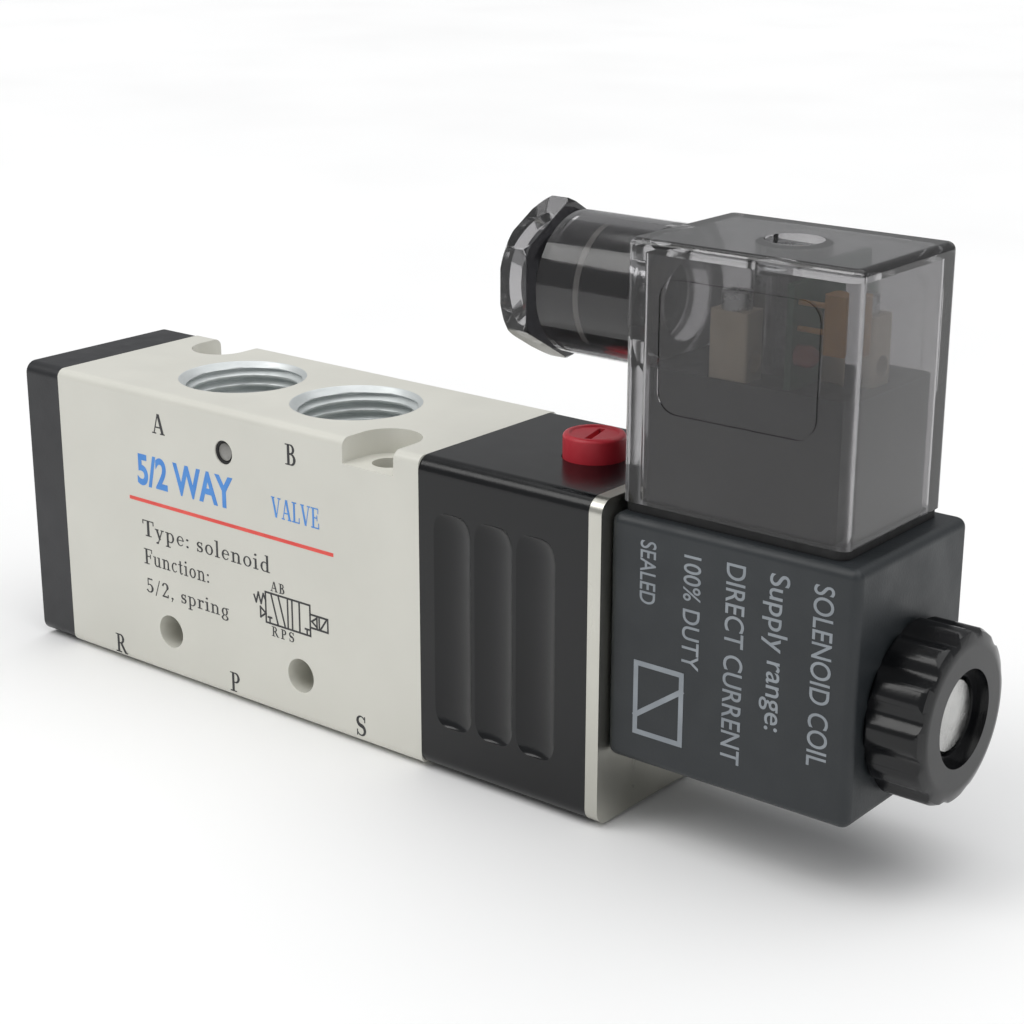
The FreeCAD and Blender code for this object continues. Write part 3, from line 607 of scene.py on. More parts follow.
# ---------------------------------------------------------------- retaining plate
plate = Box("retaining_plate")
pressed = prism(rounded(plate.y0, plate.y1, plate.z0, plate.z1, 1.9, 10), plate.x0 + 0.02,
                plate.x1, "x", "retaining_plate_pressed")
boolean(pressed, rod(plate.x0 - 1, plate.x1 + 1, 4.56, AXIS, sides=64))
pilot_screws = Box("pilot_head_screws")
SCREW_INSET = 2.68
COUNTERSINK = [(plate.x0 - 1, 0), (plate.x0 - 1, 1.6), (plate.x1 - 1.35, 1.6),
               (plate.x1 + 0.01, 2.75), (plate.x1 + 1, 2.75), (plate.x1 + 1, 0)]
for head in ((pilot_screws.y0 + SCREW_INSET, pilot_screws.z1 - SCREW_INSET),
             (pilot_screws.y1 - SCREW_INSET, pilot_screws.z0 + SCREW_INSET)):
    boolean(pressed, lathe(COUNTERSINK, head, sides=48))
bevel(pressed, 0.35, 4)
finish(pressed, "nickel_plate", "retaining_plate")

# ---------------------------------------------------------------- coil
coil = Box("coil_encapsulation")
bobbin = Box("coil_bobbin")
yoke = Box("coil_yoke")
insert = Box("coil_screw_insert")
terminals = Box("coil_terminals")
BLADE = 0.8
BLADE_LONG = 4.8
# x and y bounds of the three terminal blades
BLADES = (
    (terminals.x0, terminals.x0 + BLADE_LONG, terminals.y0, terminals.y0 + BLADE),
    (terminals.x0, terminals.x0 + BLADE_LONG, terminals.y1 - BLADE, terminals.y1),
    (terminals.x1 - BLADE, terminals.x1, -BLADE_LONG / 2, BLADE_LONG / 2),
)
TUBE_BORE = 4.6

moulding = block(coil.x0 + 0.02, coil.x1, coil.y0, coil.y1, coil.z0, coil.z1, "coil_moulding")
bevel(moulding, 1.15, 6)
# one turned cavity for the tube bore, its recess at the pilot end and the bobbin
boolean(moulding, lathe([
    (coil.x0 - 1, 0), (coil.x0 - 1, 6.0), (coil.x0 + 1.3, 6.0), (coil.x0 + 1.3, TUBE_BORE),
    (bobbin.x0, TUBE_BORE), (bobbin.x0, 9.5), (bobbin.x1, 9.5), (bobbin.x1, TUBE_BORE),
    (coil.x1 + 1, TUBE_BORE), (coil.x1 + 1, 0)], AXIS))
# one U-shaped slot for the yoke
yoke_under = yoke.z1 - 1.5
boolean(moulding, prism([
    (yoke.x0, yoke.z0), (bobbin.x0 + 0.02, yoke.z0), (bobbin.x0 + 0.02, yoke_under),
    (bobbin.x1 - 0.02, yoke_under), (bobbin.x1 - 0.02, yoke.z0), (yoke.x1, yoke.z0),
    (yoke.x1, yoke.z1), (yoke.x0, yoke.z1)], yoke.y0, yoke.y1, "y"))
boolean(moulding, rod(insert.z0, coil.z1 + 1, 2.4, (insert.cx, insert.cy), "z", 48))
boolean(moulding, *[block(*blade, terminals.z0, coil.z1 + 1) for blade in BLADES])
finish(moulding, "coil_resin", "coil_encapsulation", angle=30)

# winding with its separate turns
winding = Box("coil_winding")
WINDING_BORE = 5.4
TURN_DEPTH = 0.2
turn_count = int((winding.x1 - winding.x0) / 0.46)
turn_pitch = (winding.x1 - winding.x0) / turn_count
profile = [(winding.x0, WINDING_BORE)]
for i in range(turn_count):
    for part in (0.0, 0.2, 0.5, 0.8):
        profile.append((winding.x0 + (i + part) * turn_pitch,
                        winding.radius - TURN_DEPTH * abs(math.cos(math.pi * part))))
profile += [(winding.x1, winding.radius - TURN_DEPTH), (winding.x1, WINDING_BORE)]
finish(lathe(profile, AXIS, sides=72, ring=True, name="winding_turns"),
       "enamelled_copper", "coil_winding", angle=60, weighted=False)

# coil nut with finger lobes
nut = Box("coil_nut")
LOBES = 12
LOBE_DEPTH = 0.75
outline = []
for degrees in range(360):
    wave = math.cos(LOBES * math.radians(degrees))
    y, z = polar(nut.radius - LOBE_DEPTH * (0.5 - 0.5 * wave) ** 1.6, degrees)
    outline.append((AXIS[0] + y, AXIS[1] + z))
lobed = prism(outline, nut.x0 + 0.02, nut.x1, "x", "coil_nut_moulding")
boolean(lobed, lathe([
    (nut.x0 - 1, 0), (nut.x0 - 1, nut.radius - 0.6), (nut.x0, nut.radius - 0.6),
    (nut.x0 + 0.7, nut.radius + 0.1), (nut.x1 - 1.4, nut.radius + 0.1),
    (nut.x1 - 0.5, nut.radius - 0.35), (nut.x1 - 0.1, nut.radius - 1.3),
    (nut.x1, nut.radius - 2.0), (nut.x1 + 1, nut.radius - 2.0), (nut.x1 + 1, 0)],
    AXIS, sides=128), operation="INTERSECT")
boolean(lobed, lathe([
    (nut.x0 - 1, 0), (nut.x0 - 1, 8.0), (nut.x0 + 0.62, 8.0), (nut.x0 + 0.62, 4.55),
    (nut.x1 - 1.4, 4.55), (nut.x1 - 1.4, 5.6), (nut.x1 + 1, 5.6), (nut.x1 + 1, 0)],
    AXIS, sides=64))
bevel(lobed, 0.18, 2, 50)
heal(lobed)
finish(lobed, "black_moulding", "coil_nut")

# ---------------------------------------------------------------- connector gasket
gasket = Box("connector_gasket")
seal = prism(rounded(gasket.x0, gasket.x1, gasket.y0, gasket.y1, 1.2), gasket.z0 + 0.01,
             gasket.z1, "z", "connector_gasket_seal")
boolean(seal, rod(gasket.z0 - 1, gasket.z1 + 1, 1.9, (insert.cx, 0), "z", 48),
        *[block(x0 - 0.2, x1 + 0.2, y0 - 0.1, y1 + 0.1, gasket.z0 - 1, gasket.z1 + 1)
          for x0, x1, y0, y1 in BLADES])
bevel(seal, 0.2, 3)
finish(seal, "black_rubber", "connector_gasket")

# ---------------------------------------------------------------- connector housing
connector = Box("connector_housing")
gland = Box("gland_nut")
grommet = Box("cable_grommet")
screw = Box("connector_screw")
GLAND_AT = (0, grommet.cz)
SCREW_AT = (screw.cx, 0)
WALL = 1.7
SHELL_X0 = gasket.x0 - 0.3
INNER_TOP = connector.z1 - WALL
BARREL_RADIUS = 8.35
BARREL_END = SHELL_X0 + 3
BARREL_CHAMFER = 0.3

shell = prism(rounded(SHELL_X0, connector.x1, connector.y0, connector.y1, 1.3),
              connector.z0 + 0.01, connector.z1, "z", "connector_shell")
mesh = bmesh.new()
mesh.from_mesh(shell.data)
top_edges = [edge for edge in mesh.edges
             if all(abs(v.co.z - connector.z1 * MM) < 1e-7 for v in edge.verts)]
bmesh.ops.bevel(mesh, geom=top_edges, offset=0.9 * MM, segments=5, profile=0.5, affect="EDGES")
mesh.to_mesh(shell.data)
mesh.free()
barrel = lathe([
    (connector.x0, 0), (connector.x0, BARREL_RADIUS - BARREL_CHAMFER),
    (connector.x0 + BARREL_CHAMFER, BARREL_RADIUS), (BARREL_END - BARREL_CHAMFER, BARREL_RADIUS),
    (BARREL_END, BARREL_RADIUS - BARREL_CHAMFER), (BARREL_END, 0)], GLAND_AT, sides=128)
boolean(shell, barrel, operation="UNION")
cavity = prism(rounded(SHELL_X0 + WALL, connector.x1 - WALL, connector.y0 + WALL,
                       connector.y1 - WALL, 0.9, 6), connector.z0 - 1, INNER_TOP, "z")
boolean(shell, cavity,
        rod(connector.x0 - 1, grommet.x1 + 0.4, 7.0, GLAND_AT),
        rod(grommet.x1 - 1, BARREL_END, 4.6, GLAND_AT, sides=64))
# boss round the screw hole
boolean(shell, rod(Box("terminal_block").z1 + 0.3, INNER_TOP + 0.3, 4.2, SCREW_AT, "z", 64),
        operation="UNION")
boolean(shell, rod(connector.z0, connector.z1 + 1, 1.7, SCREW_AT, "z", 48),
        rod(Box("connector_screw_seal").z0 - 0.02, connector.z1 + 1, 3.3, SCREW_AT, "z", 64))


def outline_groove(y):
    """Thin rounded frame in the XZ plane, half of it standing out of the face at y."""
    width, depth = 0.25, 0.14
    outer, inner = (rounded(65.0 + inset, 85.2 - inset, 50.5 + inset, 65.6 - inset,
                            2.5 - inset, 10) for inset in (0, width))
    verts = [(u, along, v) for along in (y - depth, y + depth) for u, v in outer + inner]
    n = len(outer)
    faces = []
    for k in range(n):
        q = (k + 1) % n
        faces += [(k, q, n + q, n + k), (2 * n + k, 2 * n + q, 3 * n + q, 3 * n + k),
                  (k, q, 2 * n + q, 2 * n + k), (n + k, n + q, 3 * n + q, 3 * n + k)]
    return face_outwards(mesh_from("cutter", verts, faces), merge=True)


boolean(shell, outline_groove(connector.y0))
boolean(shell, outline_groove(connector.y1))
heal(shell)
finish(shell, "smoke_clear", "connector_housing")

# ---------------------------------------------------------------- gland nut
# hexagon with turned corners and a ridged neck that goes into the barrel
HEX_RADIUS = 16.6 / math.sqrt(3)
HEX_END = 45.2
hexagon = [(y, GLAND_AT[1] + z) for y, z in (polar(HEX_RADIUS, 60 * i + 30) for i in range(6))]
gland_nut = prism(hexagon, gland.x0, HEX_END, "x", "gland_nut_moulding")
boolean(gland_nut, lathe([
    (gland.x0 - 1, 0), (gland.x0 - 1, 8.5), (gland.x0, 8.5), (gland.x0 + 0.5, 9.1),
    (gland.x0 + 1.0, 9.5), (HEX_END - 0.5, 9.5), (HEX_END, 9.1), (HEX_END + 1, 9.1),
    (HEX_END + 1, 0)], GLAND_AT), operation="INTERSECT")
profile = [(HEX_END - 1.0, 0), (HEX_END - 1.0, 6.3), (HEX_END + 0.3, 6.3)]
x = HEX_END + 0.6
while x < gland.x1 - 1.2:
    profile += [(x, 6.3), (x + 0.55, 6.88)]
    x += 1.1
profile += [(gland.x1 - 0.5, 6.5), (gland.x1, 6.1), (gland.x1, 0)]
boolean(gland_nut, lathe(profile, GLAND_AT, sides=72), operation="UNION")
boolean(gland_nut, lathe([
    (gland.x0 - 1, 0), (gland.x0 - 1, 5.6), (gland.x0, 5.4), (gland.x0 + 1.1, 4.2),
    (gland.x1 + 1, 4.2), (gland.x1 + 1, 0)], GLAND_AT, sides=64))
bevel(gland_nut, 0.14, 2)
finish(gland_nut, "smoke_clear", "gland_nut")
# the neck gets a darker smoke material: painted shade for the recess between the hexagon and the
# barrel
gland_nut.data.materials.append(MATERIALS["smoke_deep"])
for face in gland_nut.data.polygons:
    if face.center.x / MM > HEX_END - 0.25:
        face.material_index = 1

# ---------------------------------------------------------------- connector screw
# slotted cheese head, plain shank, threaded tip
top = screw.z1
profile = [(top, 0), (top, 2.3), (top - 0.15, 2.65), (top - 0.5, 2.9), (top - 2.2, 2.9),
           (top - 2.2, 1.3)]
z = screw.z0 + 6.5
profile += [(z + 0.3, 1.3)]
while z > screw.z0 + 0.7:
    profile += [(z, 1.22), (z - 0.25, 1.47)]
    z -= 0.5
profile += [(screw.z0 + 0.3, 1.2), (screw.z0, 0.9), (screw.z0, 0)]
turned = lathe(profile, SCREW_AT, "z", 64, name="connector_screw_turned")
boolean(turned, block(screw.cx - 4, screw.cx + 4, -0.45, 0.45, top - 1.0, top + 1))
finish(turned, "zinc_screw", "connector_screw", angle=40, weighted=False)


# ---------------------------------------------------------------- springs
def spring_mesh(name, start, end, mean_radius, wire, active, at, axis, per_turn, sides=12):
    """Compression spring with closed and ground ends; wire is the wire's radius."""
    dead = 1.1                      # closed turns at each end
    dead_pitch = 2.04 * wire
    turns = active + 2 * dead
    inset = 0.42 * wire
    length = end - start
    active_pitch = (length - 2 * inset - 2 * dead * dead_pitch) / active
    steps = int(turns * per_turn)
    heights = []
    height = inset
    for i in range(steps + 1):
        turn = i / per_turn
        heights.append(height)
        blend = max(0.0, min(1.0, (min(turn, turns - turn) - dead + 0.25) / 0.5))
        blend = blend * blend * (3 - 2 * blend)
        height += (dead_pitch * (1 - blend) + active_pitch * blend) / per_turn
    fit = (length - 2 * inset) / (heights[-1] - inset)
    verts = []
    for i, height in enumerate(heights):
        height = inset + (height - inset) * fit
        angle = 2 * math.pi * i / per_turn
        for j in range(sides):
            round_wire = 2 * math.pi * j / sides
            radius = mean_radius + wire * math.cos(round_wire)
            along = min(max(height + wire * math.sin(round_wire), 0.0), length)
            verts.append(place(axis, start + along, at[0] + radius * math.cos(angle),
                               at[1] + radius * math.sin(angle)))
    faces = []
    for i in range(steps):
        for j in range(sides):
            q = (j + 1) % sides
            faces.append((i * sides + j, i * sides + q, (i + 1) * sides + q,
                          (i + 1) * sides + j))
    faces.append(tuple(range(sides)))
    faces.append(tuple(steps * sides + j for j in range(sides)))
    return face_outwards(mesh_from(name, verts, faces))


def add_spring(node, start, end, radius, wire, active,
               at=AXIS, axis="x", per_turn=40):
    """Spring from start to end."""
    spring = spring_mesh(node + "_wire", start, end, radius, wire, active, at, axis, per_turn)
    finish(spring, "spring_wire", node, angle=60, weighted=False)
    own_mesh(spring)


CLEAR = 0.02
add_spring("return_spring", SPRING_SEAT + CLEAR, spool.x0 + 9.0 - CLEAR,
           radius=Box("return_spring").radius - 0.4, wire=0.4, active=6.5)
add_spring("armature_spring", Box("armature").x0 + 1.2, TUBE_SEAT - CLEAR,
           radius=4.5, wire=0.25, active=1.6, per_turn=48)
add_spring("override_spring", BUTTON_SEAT + CLEAR, button.z1 - 5.0 - CLEAR,
           radius=3.45, wire=0.3, active=2.6,
           at=BUTTON_AT, axis="z", per_turn=48)

# ---------------------------------------------------------------- CAD pieces kept as they are
KEPT = {
    "black_rubber": "end_cap_gasket spool_seals pilot_housing_gasket piston_seal override_oring "
                    "tube_flange_oring armature_seal coil_front_oring connector_screw_seal "
                    "cable_grommet",
    "anodised_spool": "spool",
    "white_moulding": "piston coil_bobbin gland_washer",
    "turned_brass": "pilot_nozzle coil_screw_insert",
    "zinc_screw": "pilot_head_screws terminal_screws",
    "turned_steel": "armature_tube fixed_core armature",
    "nickel_plate": "coil_yoke",
    "tinned_copper": "coil_terminals terminal_clamps",
    "spring_wire": "coil_lock_washer",
    "block_moulding": "terminal_block",
    "board_green": "led_board",
    "led_clear_red": "status_led",
    "tan_disc": "surge_suppressor",
}
for look, names in KEPT.items():
    for name in names.split():
        if name not in frame["nodes"]:
            continue
        piece = frame["nodes"][name]
        if not piece.material_slots:
            piece.data.materials.append(None)
        for slot in piece.material_slots:
            slot.link = "OBJECT"
            slot.material = MATERIALS[look]

# ---------------------------------------------------------------- sans lettering
BODY_PRINT = body.y0 - 0.012        # y of the printing on the body and on the coil
COIL_PRINT = coil.y0 - 0.012


def text(name, words, size, ink, placing, bold, squeeze, align="CENTER"):
    """Flat lettering, 0.03 mm thick, laid out in its own plane and placed by a matrix."""
    curve = bpy.data.curves.new(name, "FONT")
    curve.body = words
    curve.size = size
    curve.extrude = 0.015
    curve.offset = bold
    curve.align_x = align
    curve.align_y = "CENTER"
    curve.resolution_u = 6
    draft = link(curve, name)
    depsgraph = bpy.context.evaluated_depsgraph_get()
    depsgraph.update()
    mesh = bpy.data.meshes.new_from_object(draft.evaluated_get(depsgraph))
    bpy.data.objects.remove(draft)
    mesh.name = name
    mesh.transform(Matrix.Diagonal((squeeze, 1, 1, 1)))
    mesh.transform(placing)
    mesh.transform(Matrix.Diagonal((MM, MM, MM, 1)))
    dress(link(mesh, name), ink)


def on_front(x, y, z):
    """Facing -Y: text x to +X, text y to +Z."""
    return Matrix(((1, 0, 0, x), (0, 0, -1, y), (0, 1, 0, z), (0, 0, 0, 1)))


def on_front_down(x, y, z):
    """Facing -Y, read downwards: text x to -Z, text y to +X."""
    return Matrix(((0, 1, 0, x), (0, 0, -1, y), (-1, 0, 0, z), (0, 0, 0, 1)))


# ---------------------------------------------------------------- serif lettering
# Letters have cap height 1 and are built from straight stems, thin bars and swelling bowls.
# Each stroke is a list of polygons.
THICK, THIN, SERIF = 0.17, 0.062, 0.055     # capital stem and thin stroke, serif height
STOUT, HAIR, MEAN = 0.125, 0.05, 0.63       # lower case stem, thin stroke and height


def bar(x0, z0, x1, z1):
    return [[(x0, z0), (x1, z0), (x1, z1), (x0, z1)]]


def foot(x0, x1):
    return bar(x0, 0, x1, SERIF)


def head(x0, x1, top=1):
    return bar(x0, top - SERIF, x1, top)


def slant(x0, z0, x1, z1, wide):
    return [[(x0 - wide / 2, z0), (x0 + wide / 2, z0), (x1 + wide / 2, z1), (x1 - wide / 2, z1)]]


def bow(x, z, radius_x, radius_z, turns, widths, steps=10):
    """Swelling stroke: turns lists angles in degrees, widths the stroke width at each."""
    quads = []
    for k in range(len(turns) - 1):
        for i in range(steps):
            quad = []
            for part, side in ((i / steps, 1), ((i + 1) / steps, 1),
                               ((i + 1) / steps, -1), (i / steps, -1)):
                angle = math.radians(turns[k] + (turns[k + 1] - turns[k]) * part)
                out = (widths[k] + (widths[k + 1] - widths[k]) * part) / 2 * side
                quad.append((x + (radius_x + out) * math.cos(angle),
                             z + (radius_z + out) * math.sin(angle)))
            quads.append(quad)
    return quads


def dot(x, z, radius_x, radius_z):
    return [[(x + radius_x * math.cos(k * math.pi / 8), z + radius_z * math.sin(k * math.pi / 8))
             for k in range(16)]]


STEM = bar(0.14, 0, 0.14 + THICK, 1)
SHORT = bar(0.10, 0, 0.10 + STOUT, MEAN)
RIGHT = (90, 0, -90)                # turns of a half bowl that bulges to the right
SWELL = (THIN, THICK * 1.1, THIN)
OPEN = (HAIR, HAIR, STOUT, HAIR, HAIR)
# letter: (advance, strokes)
GLYPHS = {
    "A": (1.0, [slant(0.15, 0.02, 0.47, 0.99, THIN * 1.2), slant(0.83, 0.02, 0.50, 1.0, THICK * 1.15),
                bar(0.25, 0.30, 0.72, 0.30 + THIN), foot(0.0, 0.32), foot(0.62, 1.0)]),
    "V": (0.98, [slant(0.50, 0.0, 0.17, 0.98, THICK * 1.15),
                 slant(0.52, 0.0, 0.84, 0.98, THIN * 1.2), head(0.0, 0.36), head(0.67, 0.99)]),
    "B": (0.84, [STEM, bow(0.38, 0.765, 0.20, 0.205, RIGHT, (THIN, THICK, THIN)),
                 head(0.0, 0.39), bar(0.2, 0.53, 0.39, 0.53 + THIN),
                 bow(0.40, 0.28, 0.25, 0.25, RIGHT, SWELL), foot(0.0, 0.41),
                 bar(0.2, 0.50, 0.41, 0.50 + THIN)]),
    "P": (0.80, [STEM, bow(0.38, 0.73, 0.26, 0.24, RIGHT, SWELL), head(0.0, 0.39),
                 bar(0.2, 0.46, 0.39, 0.46 + THIN), foot(0.0, 0.47)]),
    "R": (0.98, [STEM, bow(0.38, 0.745, 0.24, 0.225, RIGHT, SWELL), head(0.0, 0.39),
                 bar(0.2, 0.49, 0.39, 0.49 + THIN), foot(0.0, 0.45),
                 slant(0.83, 0.0, 0.44, 0.52, THICK * 1.15), foot(0.74, 0.98)]),
    "S": (0.74, [bow(0.37, 0.745, 0.24, 0.225, (25, 90, 180, 270),
                     (THIN, THIN, THICK, THICK * 1.15)),
                 bow(0.37, 0.27, 0.26, 0.24, (90, 0, -90, -155),
                     (THICK * 1.15, THICK, THIN, THIN)),
                 bar(0.60, 0.70, 0.60 + THIN, 1.0), bar(0.08, 0.0, 0.08 + THIN, 0.30)]),
    "L": (0.80, [STEM, head(0.0, 0.46), foot(0.0, 0.76), bar(0.76 - THIN, 0, 0.76, 0.28)]),
    "E": (0.84, [STEM, head(0.0, 0.74), bar(0.74 - THIN, 0.74, 0.74, 1),
                 bar(0.2, 0.49, 0.58, 0.49 + SERIF), bar(0.57, 0.38, 0.57 + THIN, 0.66),
                 foot(0.0, 0.79), bar(0.79 - THIN, 0, 0.79, 0.28)]),
    "F": (0.76, [STEM, head(0.0, 0.74), bar(0.74 - THIN, 0.74, 0.74, 1),
                 bar(0.2, 0.49, 0.58, 0.49 + SERIF), bar(0.55, 0.38, 0.55 + THIN, 0.66),
                 foot(0.0, 0.46)]),
    "T": (0.84, [bar(0.33, 0, 0.33 + THICK, 1), head(0.0, 0.83), bar(0.0, 0.74, THIN, 1),
                 bar(0.83 - THIN, 0.74, 0.83, 1), foot(0.20, 0.64)]),
    " ": (0.30, []),
    ":": (0.30, [dot(0.13, 0.07, 0.085, 0.065), dot(0.13, 0.50, 0.085, 0.065)]),
    ",": (0.36, [dot(0.14, 0.07, 0.085, 0.065), slant(0.08, -0.17, 0.20, 0.06, 0.055)]),
    "/": (0.46, [slant(0.04, -0.10, 0.40, 1.04, 0.06)]),
    "c": (0.56, [bow(0.31, 0.315, 0.21, 0.285, (42, 90, 180, 270, 322),
                     (STOUT, HAIR, STOUT, HAIR, HAIR))]),
    "d": (0.72, [bow(0.32, 0.31, 0.21, 0.28, (50, 90, 180, 270, 310), OPEN),
                 bar(0.45, 0, 0.45 + STOUT, 1.02), head(0.36, 0.48, 1.02), foot(0.55, 0.68)]),
    "e": (0.60, [bow(0.31, 0.315, 0.21, 0.285, (2, 90, 180, 270, 322),
                     (HAIR * 1.6, HAIR, STOUT, HAIR, HAIR)),
                 bar(0.12, 0.33, 0.54, 0.33 + HAIR)]),
    "g": (0.68, [bow(0.30, 0.36, 0.18, 0.235, (0, 90, 180, 270, 360),
                     (STOUT, HAIR, STOUT, HAIR, STOUT)),
                 bow(0.30, -0.07, 0.21, 0.15, (70, 0, -90, -180, -250),
                     (HAIR, STOUT, HAIR, STOUT, HAIR)),
                 slant(0.22, 0.03, 0.17, 0.16, HAIR), head(0.43, 0.62, MEAN)]),
    "i": (0.36, [SHORT, foot(0.0, 0.33), head(0.0, 0.16, MEAN), dot(0.155, 0.87, 0.085, 0.065)]),
    "l": (0.36, [bar(0.10, 0, 0.10 + STOUT, 1.02), foot(0.0, 0.33), head(0.0, 0.16, 1.02)]),
    "n": (0.74, [SHORT, bar(0.48, 0, 0.48 + STOUT, 0.42),
                 bow(0.37, 0.41, 0.175, 0.19, (150, 90, 0), (HAIR, HAIR * 1.5, STOUT)),
                 foot(0.0, 0.32), foot(0.39, 0.71), head(0.0, 0.16, MEAN)]),
    "o": (0.64, [bow(0.31, 0.315, 0.22, 0.285, (0, 90, 180, 270, 360),
                     (STOUT, HAIR, STOUT, HAIR, STOUT))]),
    "p": (0.70, [bar(0.10, -0.30, 0.10 + STOUT, MEAN),
                 bow(0.35, 0.315, 0.22, 0.285, (130, 90, 0, -90, -130), OPEN),
                 bar(0.0, -0.30, 0.34, -0.30 + SERIF), head(0.0, 0.16, MEAN)]),
    "r": (0.54, [SHORT, foot(0.0, 0.36), head(0.0, 0.16, MEAN),
                 bow(0.37, 0.42, 0.17, 0.17, (155, 85, 60), (HAIR, HAIR * 1.6, STOUT)),
                 dot(0.45, 0.54, 0.07, 0.06)]),
    "s": (0.52, [bow(0.25, 0.46, 0.145, 0.14, (30, 90, 180, 270),
                     (HAIR, HAIR, STOUT * 0.9, STOUT)),
                 bow(0.25, 0.17, 0.165, 0.145, (90, 0, -90, -150),
                     (STOUT, STOUT * 0.9, HAIR, HAIR)),
                 bar(0.38, 0.44, 0.38 + HAIR, MEAN), bar(0.06, 0.0, 0.06 + HAIR, 0.19)]),
    "t": (0.44, [bar(0.12, 0.13, 0.12 + STOUT, 0.84), head(0.0, 0.36, MEAN),
                 bow(0.275, 0.145, 0.092, 0.12, (180, 270, 345), (STOUT, HAIR * 1.3, HAIR))]),
    "u": (0.74, [bar(0.10, 0.2, 0.10 + STOUT, MEAN),
                 bow(0.33, 0.215, 0.167, 0.19, (180, 270, 322), (STOUT, HAIR * 1.5, HAIR)),
                 bar(0.47, 0, 0.47 + STOUT, MEAN), head(0.0, 0.16, MEAN),
                 head(0.37, 0.53, MEAN), foot(0.55, 0.70)]),
    "y": (0.68, [slant(0.34, 0.0, 0.12, MEAN, STOUT * 1.1),
                 slant(0.19, -0.27, 0.54, MEAN, HAIR * 1.3), head(0.0, 0.26, MEAN),
                 head(0.42, 0.66, MEAN), dot(0.15, -0.24, 0.09, 0.06)]),
    "2": (0.66, [bow(0.31, 0.74, 0.20, 0.235, (175, 90, 0, -38),
                     (STOUT, THIN, THICK, THICK * 0.8)),
                 slant(0.11, 0.05, 0.46, 0.60, 0.09), bar(0.06, 0, 0.57, 0.10),
                 bar(0.57 - THIN, 0.05, 0.57, 0.22)]),
    "5": (0.66, [bar(0.14, 0.91, 0.54, 1.0), bar(0.13, 0.48, 0.13 + THIN, 0.95),
                 bow(0.28, 0.30, 0.24, 0.27, (128, 90, 0, -90, -155),
                     (THIN, THIN, THICK, THIN, STOUT))]),
}
# Overlapping strokes stand out by different amounts, so that no two faces coincide.
STEP_OUT = 0.0012


def word_width(word, gap):
    return sum(GLYPHS[letter][0] for letter in word) + gap * (len(word) - 1)


def serif(name, word, high, unit, ink, x_mid, z_mid, gap=0.08):
    """Flat word centred on the body front. unit is the millimetres in one unit of width."""
    x = x_mid - word_width(word, gap) * unit / 2
    verts = []
    faces = []
    level = 0
    for letter in word:
        advance, strokes = GLYPHS[letter]
        for stroke in strokes:
            level = (level + 1) % 14
            for polygon in stroke:
                outline = [(x + u * unit, z_mid + (v - 0.5) * high) for u, v in polygon]
                n = len(outline)
                base = len(verts)
                for y in (BODY_PRINT - 0.012 - STEP_OUT * level, BODY_PRINT + 0.010):
                    verts += [(u, y, v) for u, v in outline]
                loops = [range(n), range(2 * n - 1, n - 1, -1)]
                loops += [(k, n + k, n + (k + 1) % n, (k + 1) % n) for k in range(n)]
                faces += [tuple(i + base for i in loop) for loop in loops]
        x += (advance + gap) * unit
    dress(face_outwards(mesh_from(name, verts, faces)), ink)


# ---------------------------------------------------------------- printing on the body
for letter, x, z in (("A", -12.8, 35.8), ("B", 11.8, 36.2), ("R", -22.8, 2.1),
                     ("P", 0.0, 2.3), ("S", 22.8, 2.4)):
    serif("letter_" + letter.lower(), letter, 2.75, 2.45, "ink_black", x, z)
text("print_title", "5/2 WAY", 5.9, "ink_blue", on_front(-8.4, BODY_PRINT, 28.6),
     bold=0.16, squeeze=0.80)
serif("print_valve", "VALVE", 2.7, 1.72, "ink_blue", 12.2, 28.7)
# name, words, left x, bottom z, height, length
for name, words, x, z, high, length in (
        ("print_line_1", "Type: solenoid", -17.0, 19.45, 2.25, 24.4),
        ("print_line_2", "Function:", -17.0, 15.4, 2.2, 12.9),
        ("print_line_3", "5/2, spring", -16.9, 11.3, 2.05, 16.3)):
    serif(name, words, high, length / word_width(words, 0.09), "ink_black",
          x + length / 2, z + high / 2, 0.09)
dress(block(-19.3, 18.7, BODY_PRINT - 0.015, BODY_PRINT + 0.015, 24.2, 24.7, "print_rule"),
      "ink_red")

stroke_levels = itertools.cycle([*range(1, 12), 0])


def line_stroke(x0, z0, x1, z1, y, width):
    rise = STEP_OUT * next(stroke_levels)
    along = Vector((x1 - x0, 0, z1 - z0))
    along = along / along.length
    across = Vector((-along.z, 0, along.x)) * width / 2
    start = Vector((x0, y, z0)) - along * width / 2
    end = Vector((x1, y, z1)) + along * width / 2
    corners = [start + across, end + across, end - across, start - across]
    verts = [tuple(corner + Vector((0, out, 0)))
             for out in (-0.012 - rise, 0.010 + rise / 2) for corner in corners]
    faces = [(0, 1, 2, 3), (7, 6, 5, 4), (0, 4, 5, 1), (1, 5, 6, 2), (2, 6, 7, 3), (3, 7, 4, 0)]
    return face_outwards(mesh_from("stroke", verts, faces), merge=True)


def draw(name, chains, z_mid, y, width, ink):
    """Line drawing from chains of (x, height above z_mid) points."""
    strokes = [line_stroke(x0, z_mid + z0, x1, z_mid + z1, y, width)
               for chain in chains for (x0, z0), (x1, z1) in zip(chain, chain[1:])]
    dress(join(name, strokes), ink)


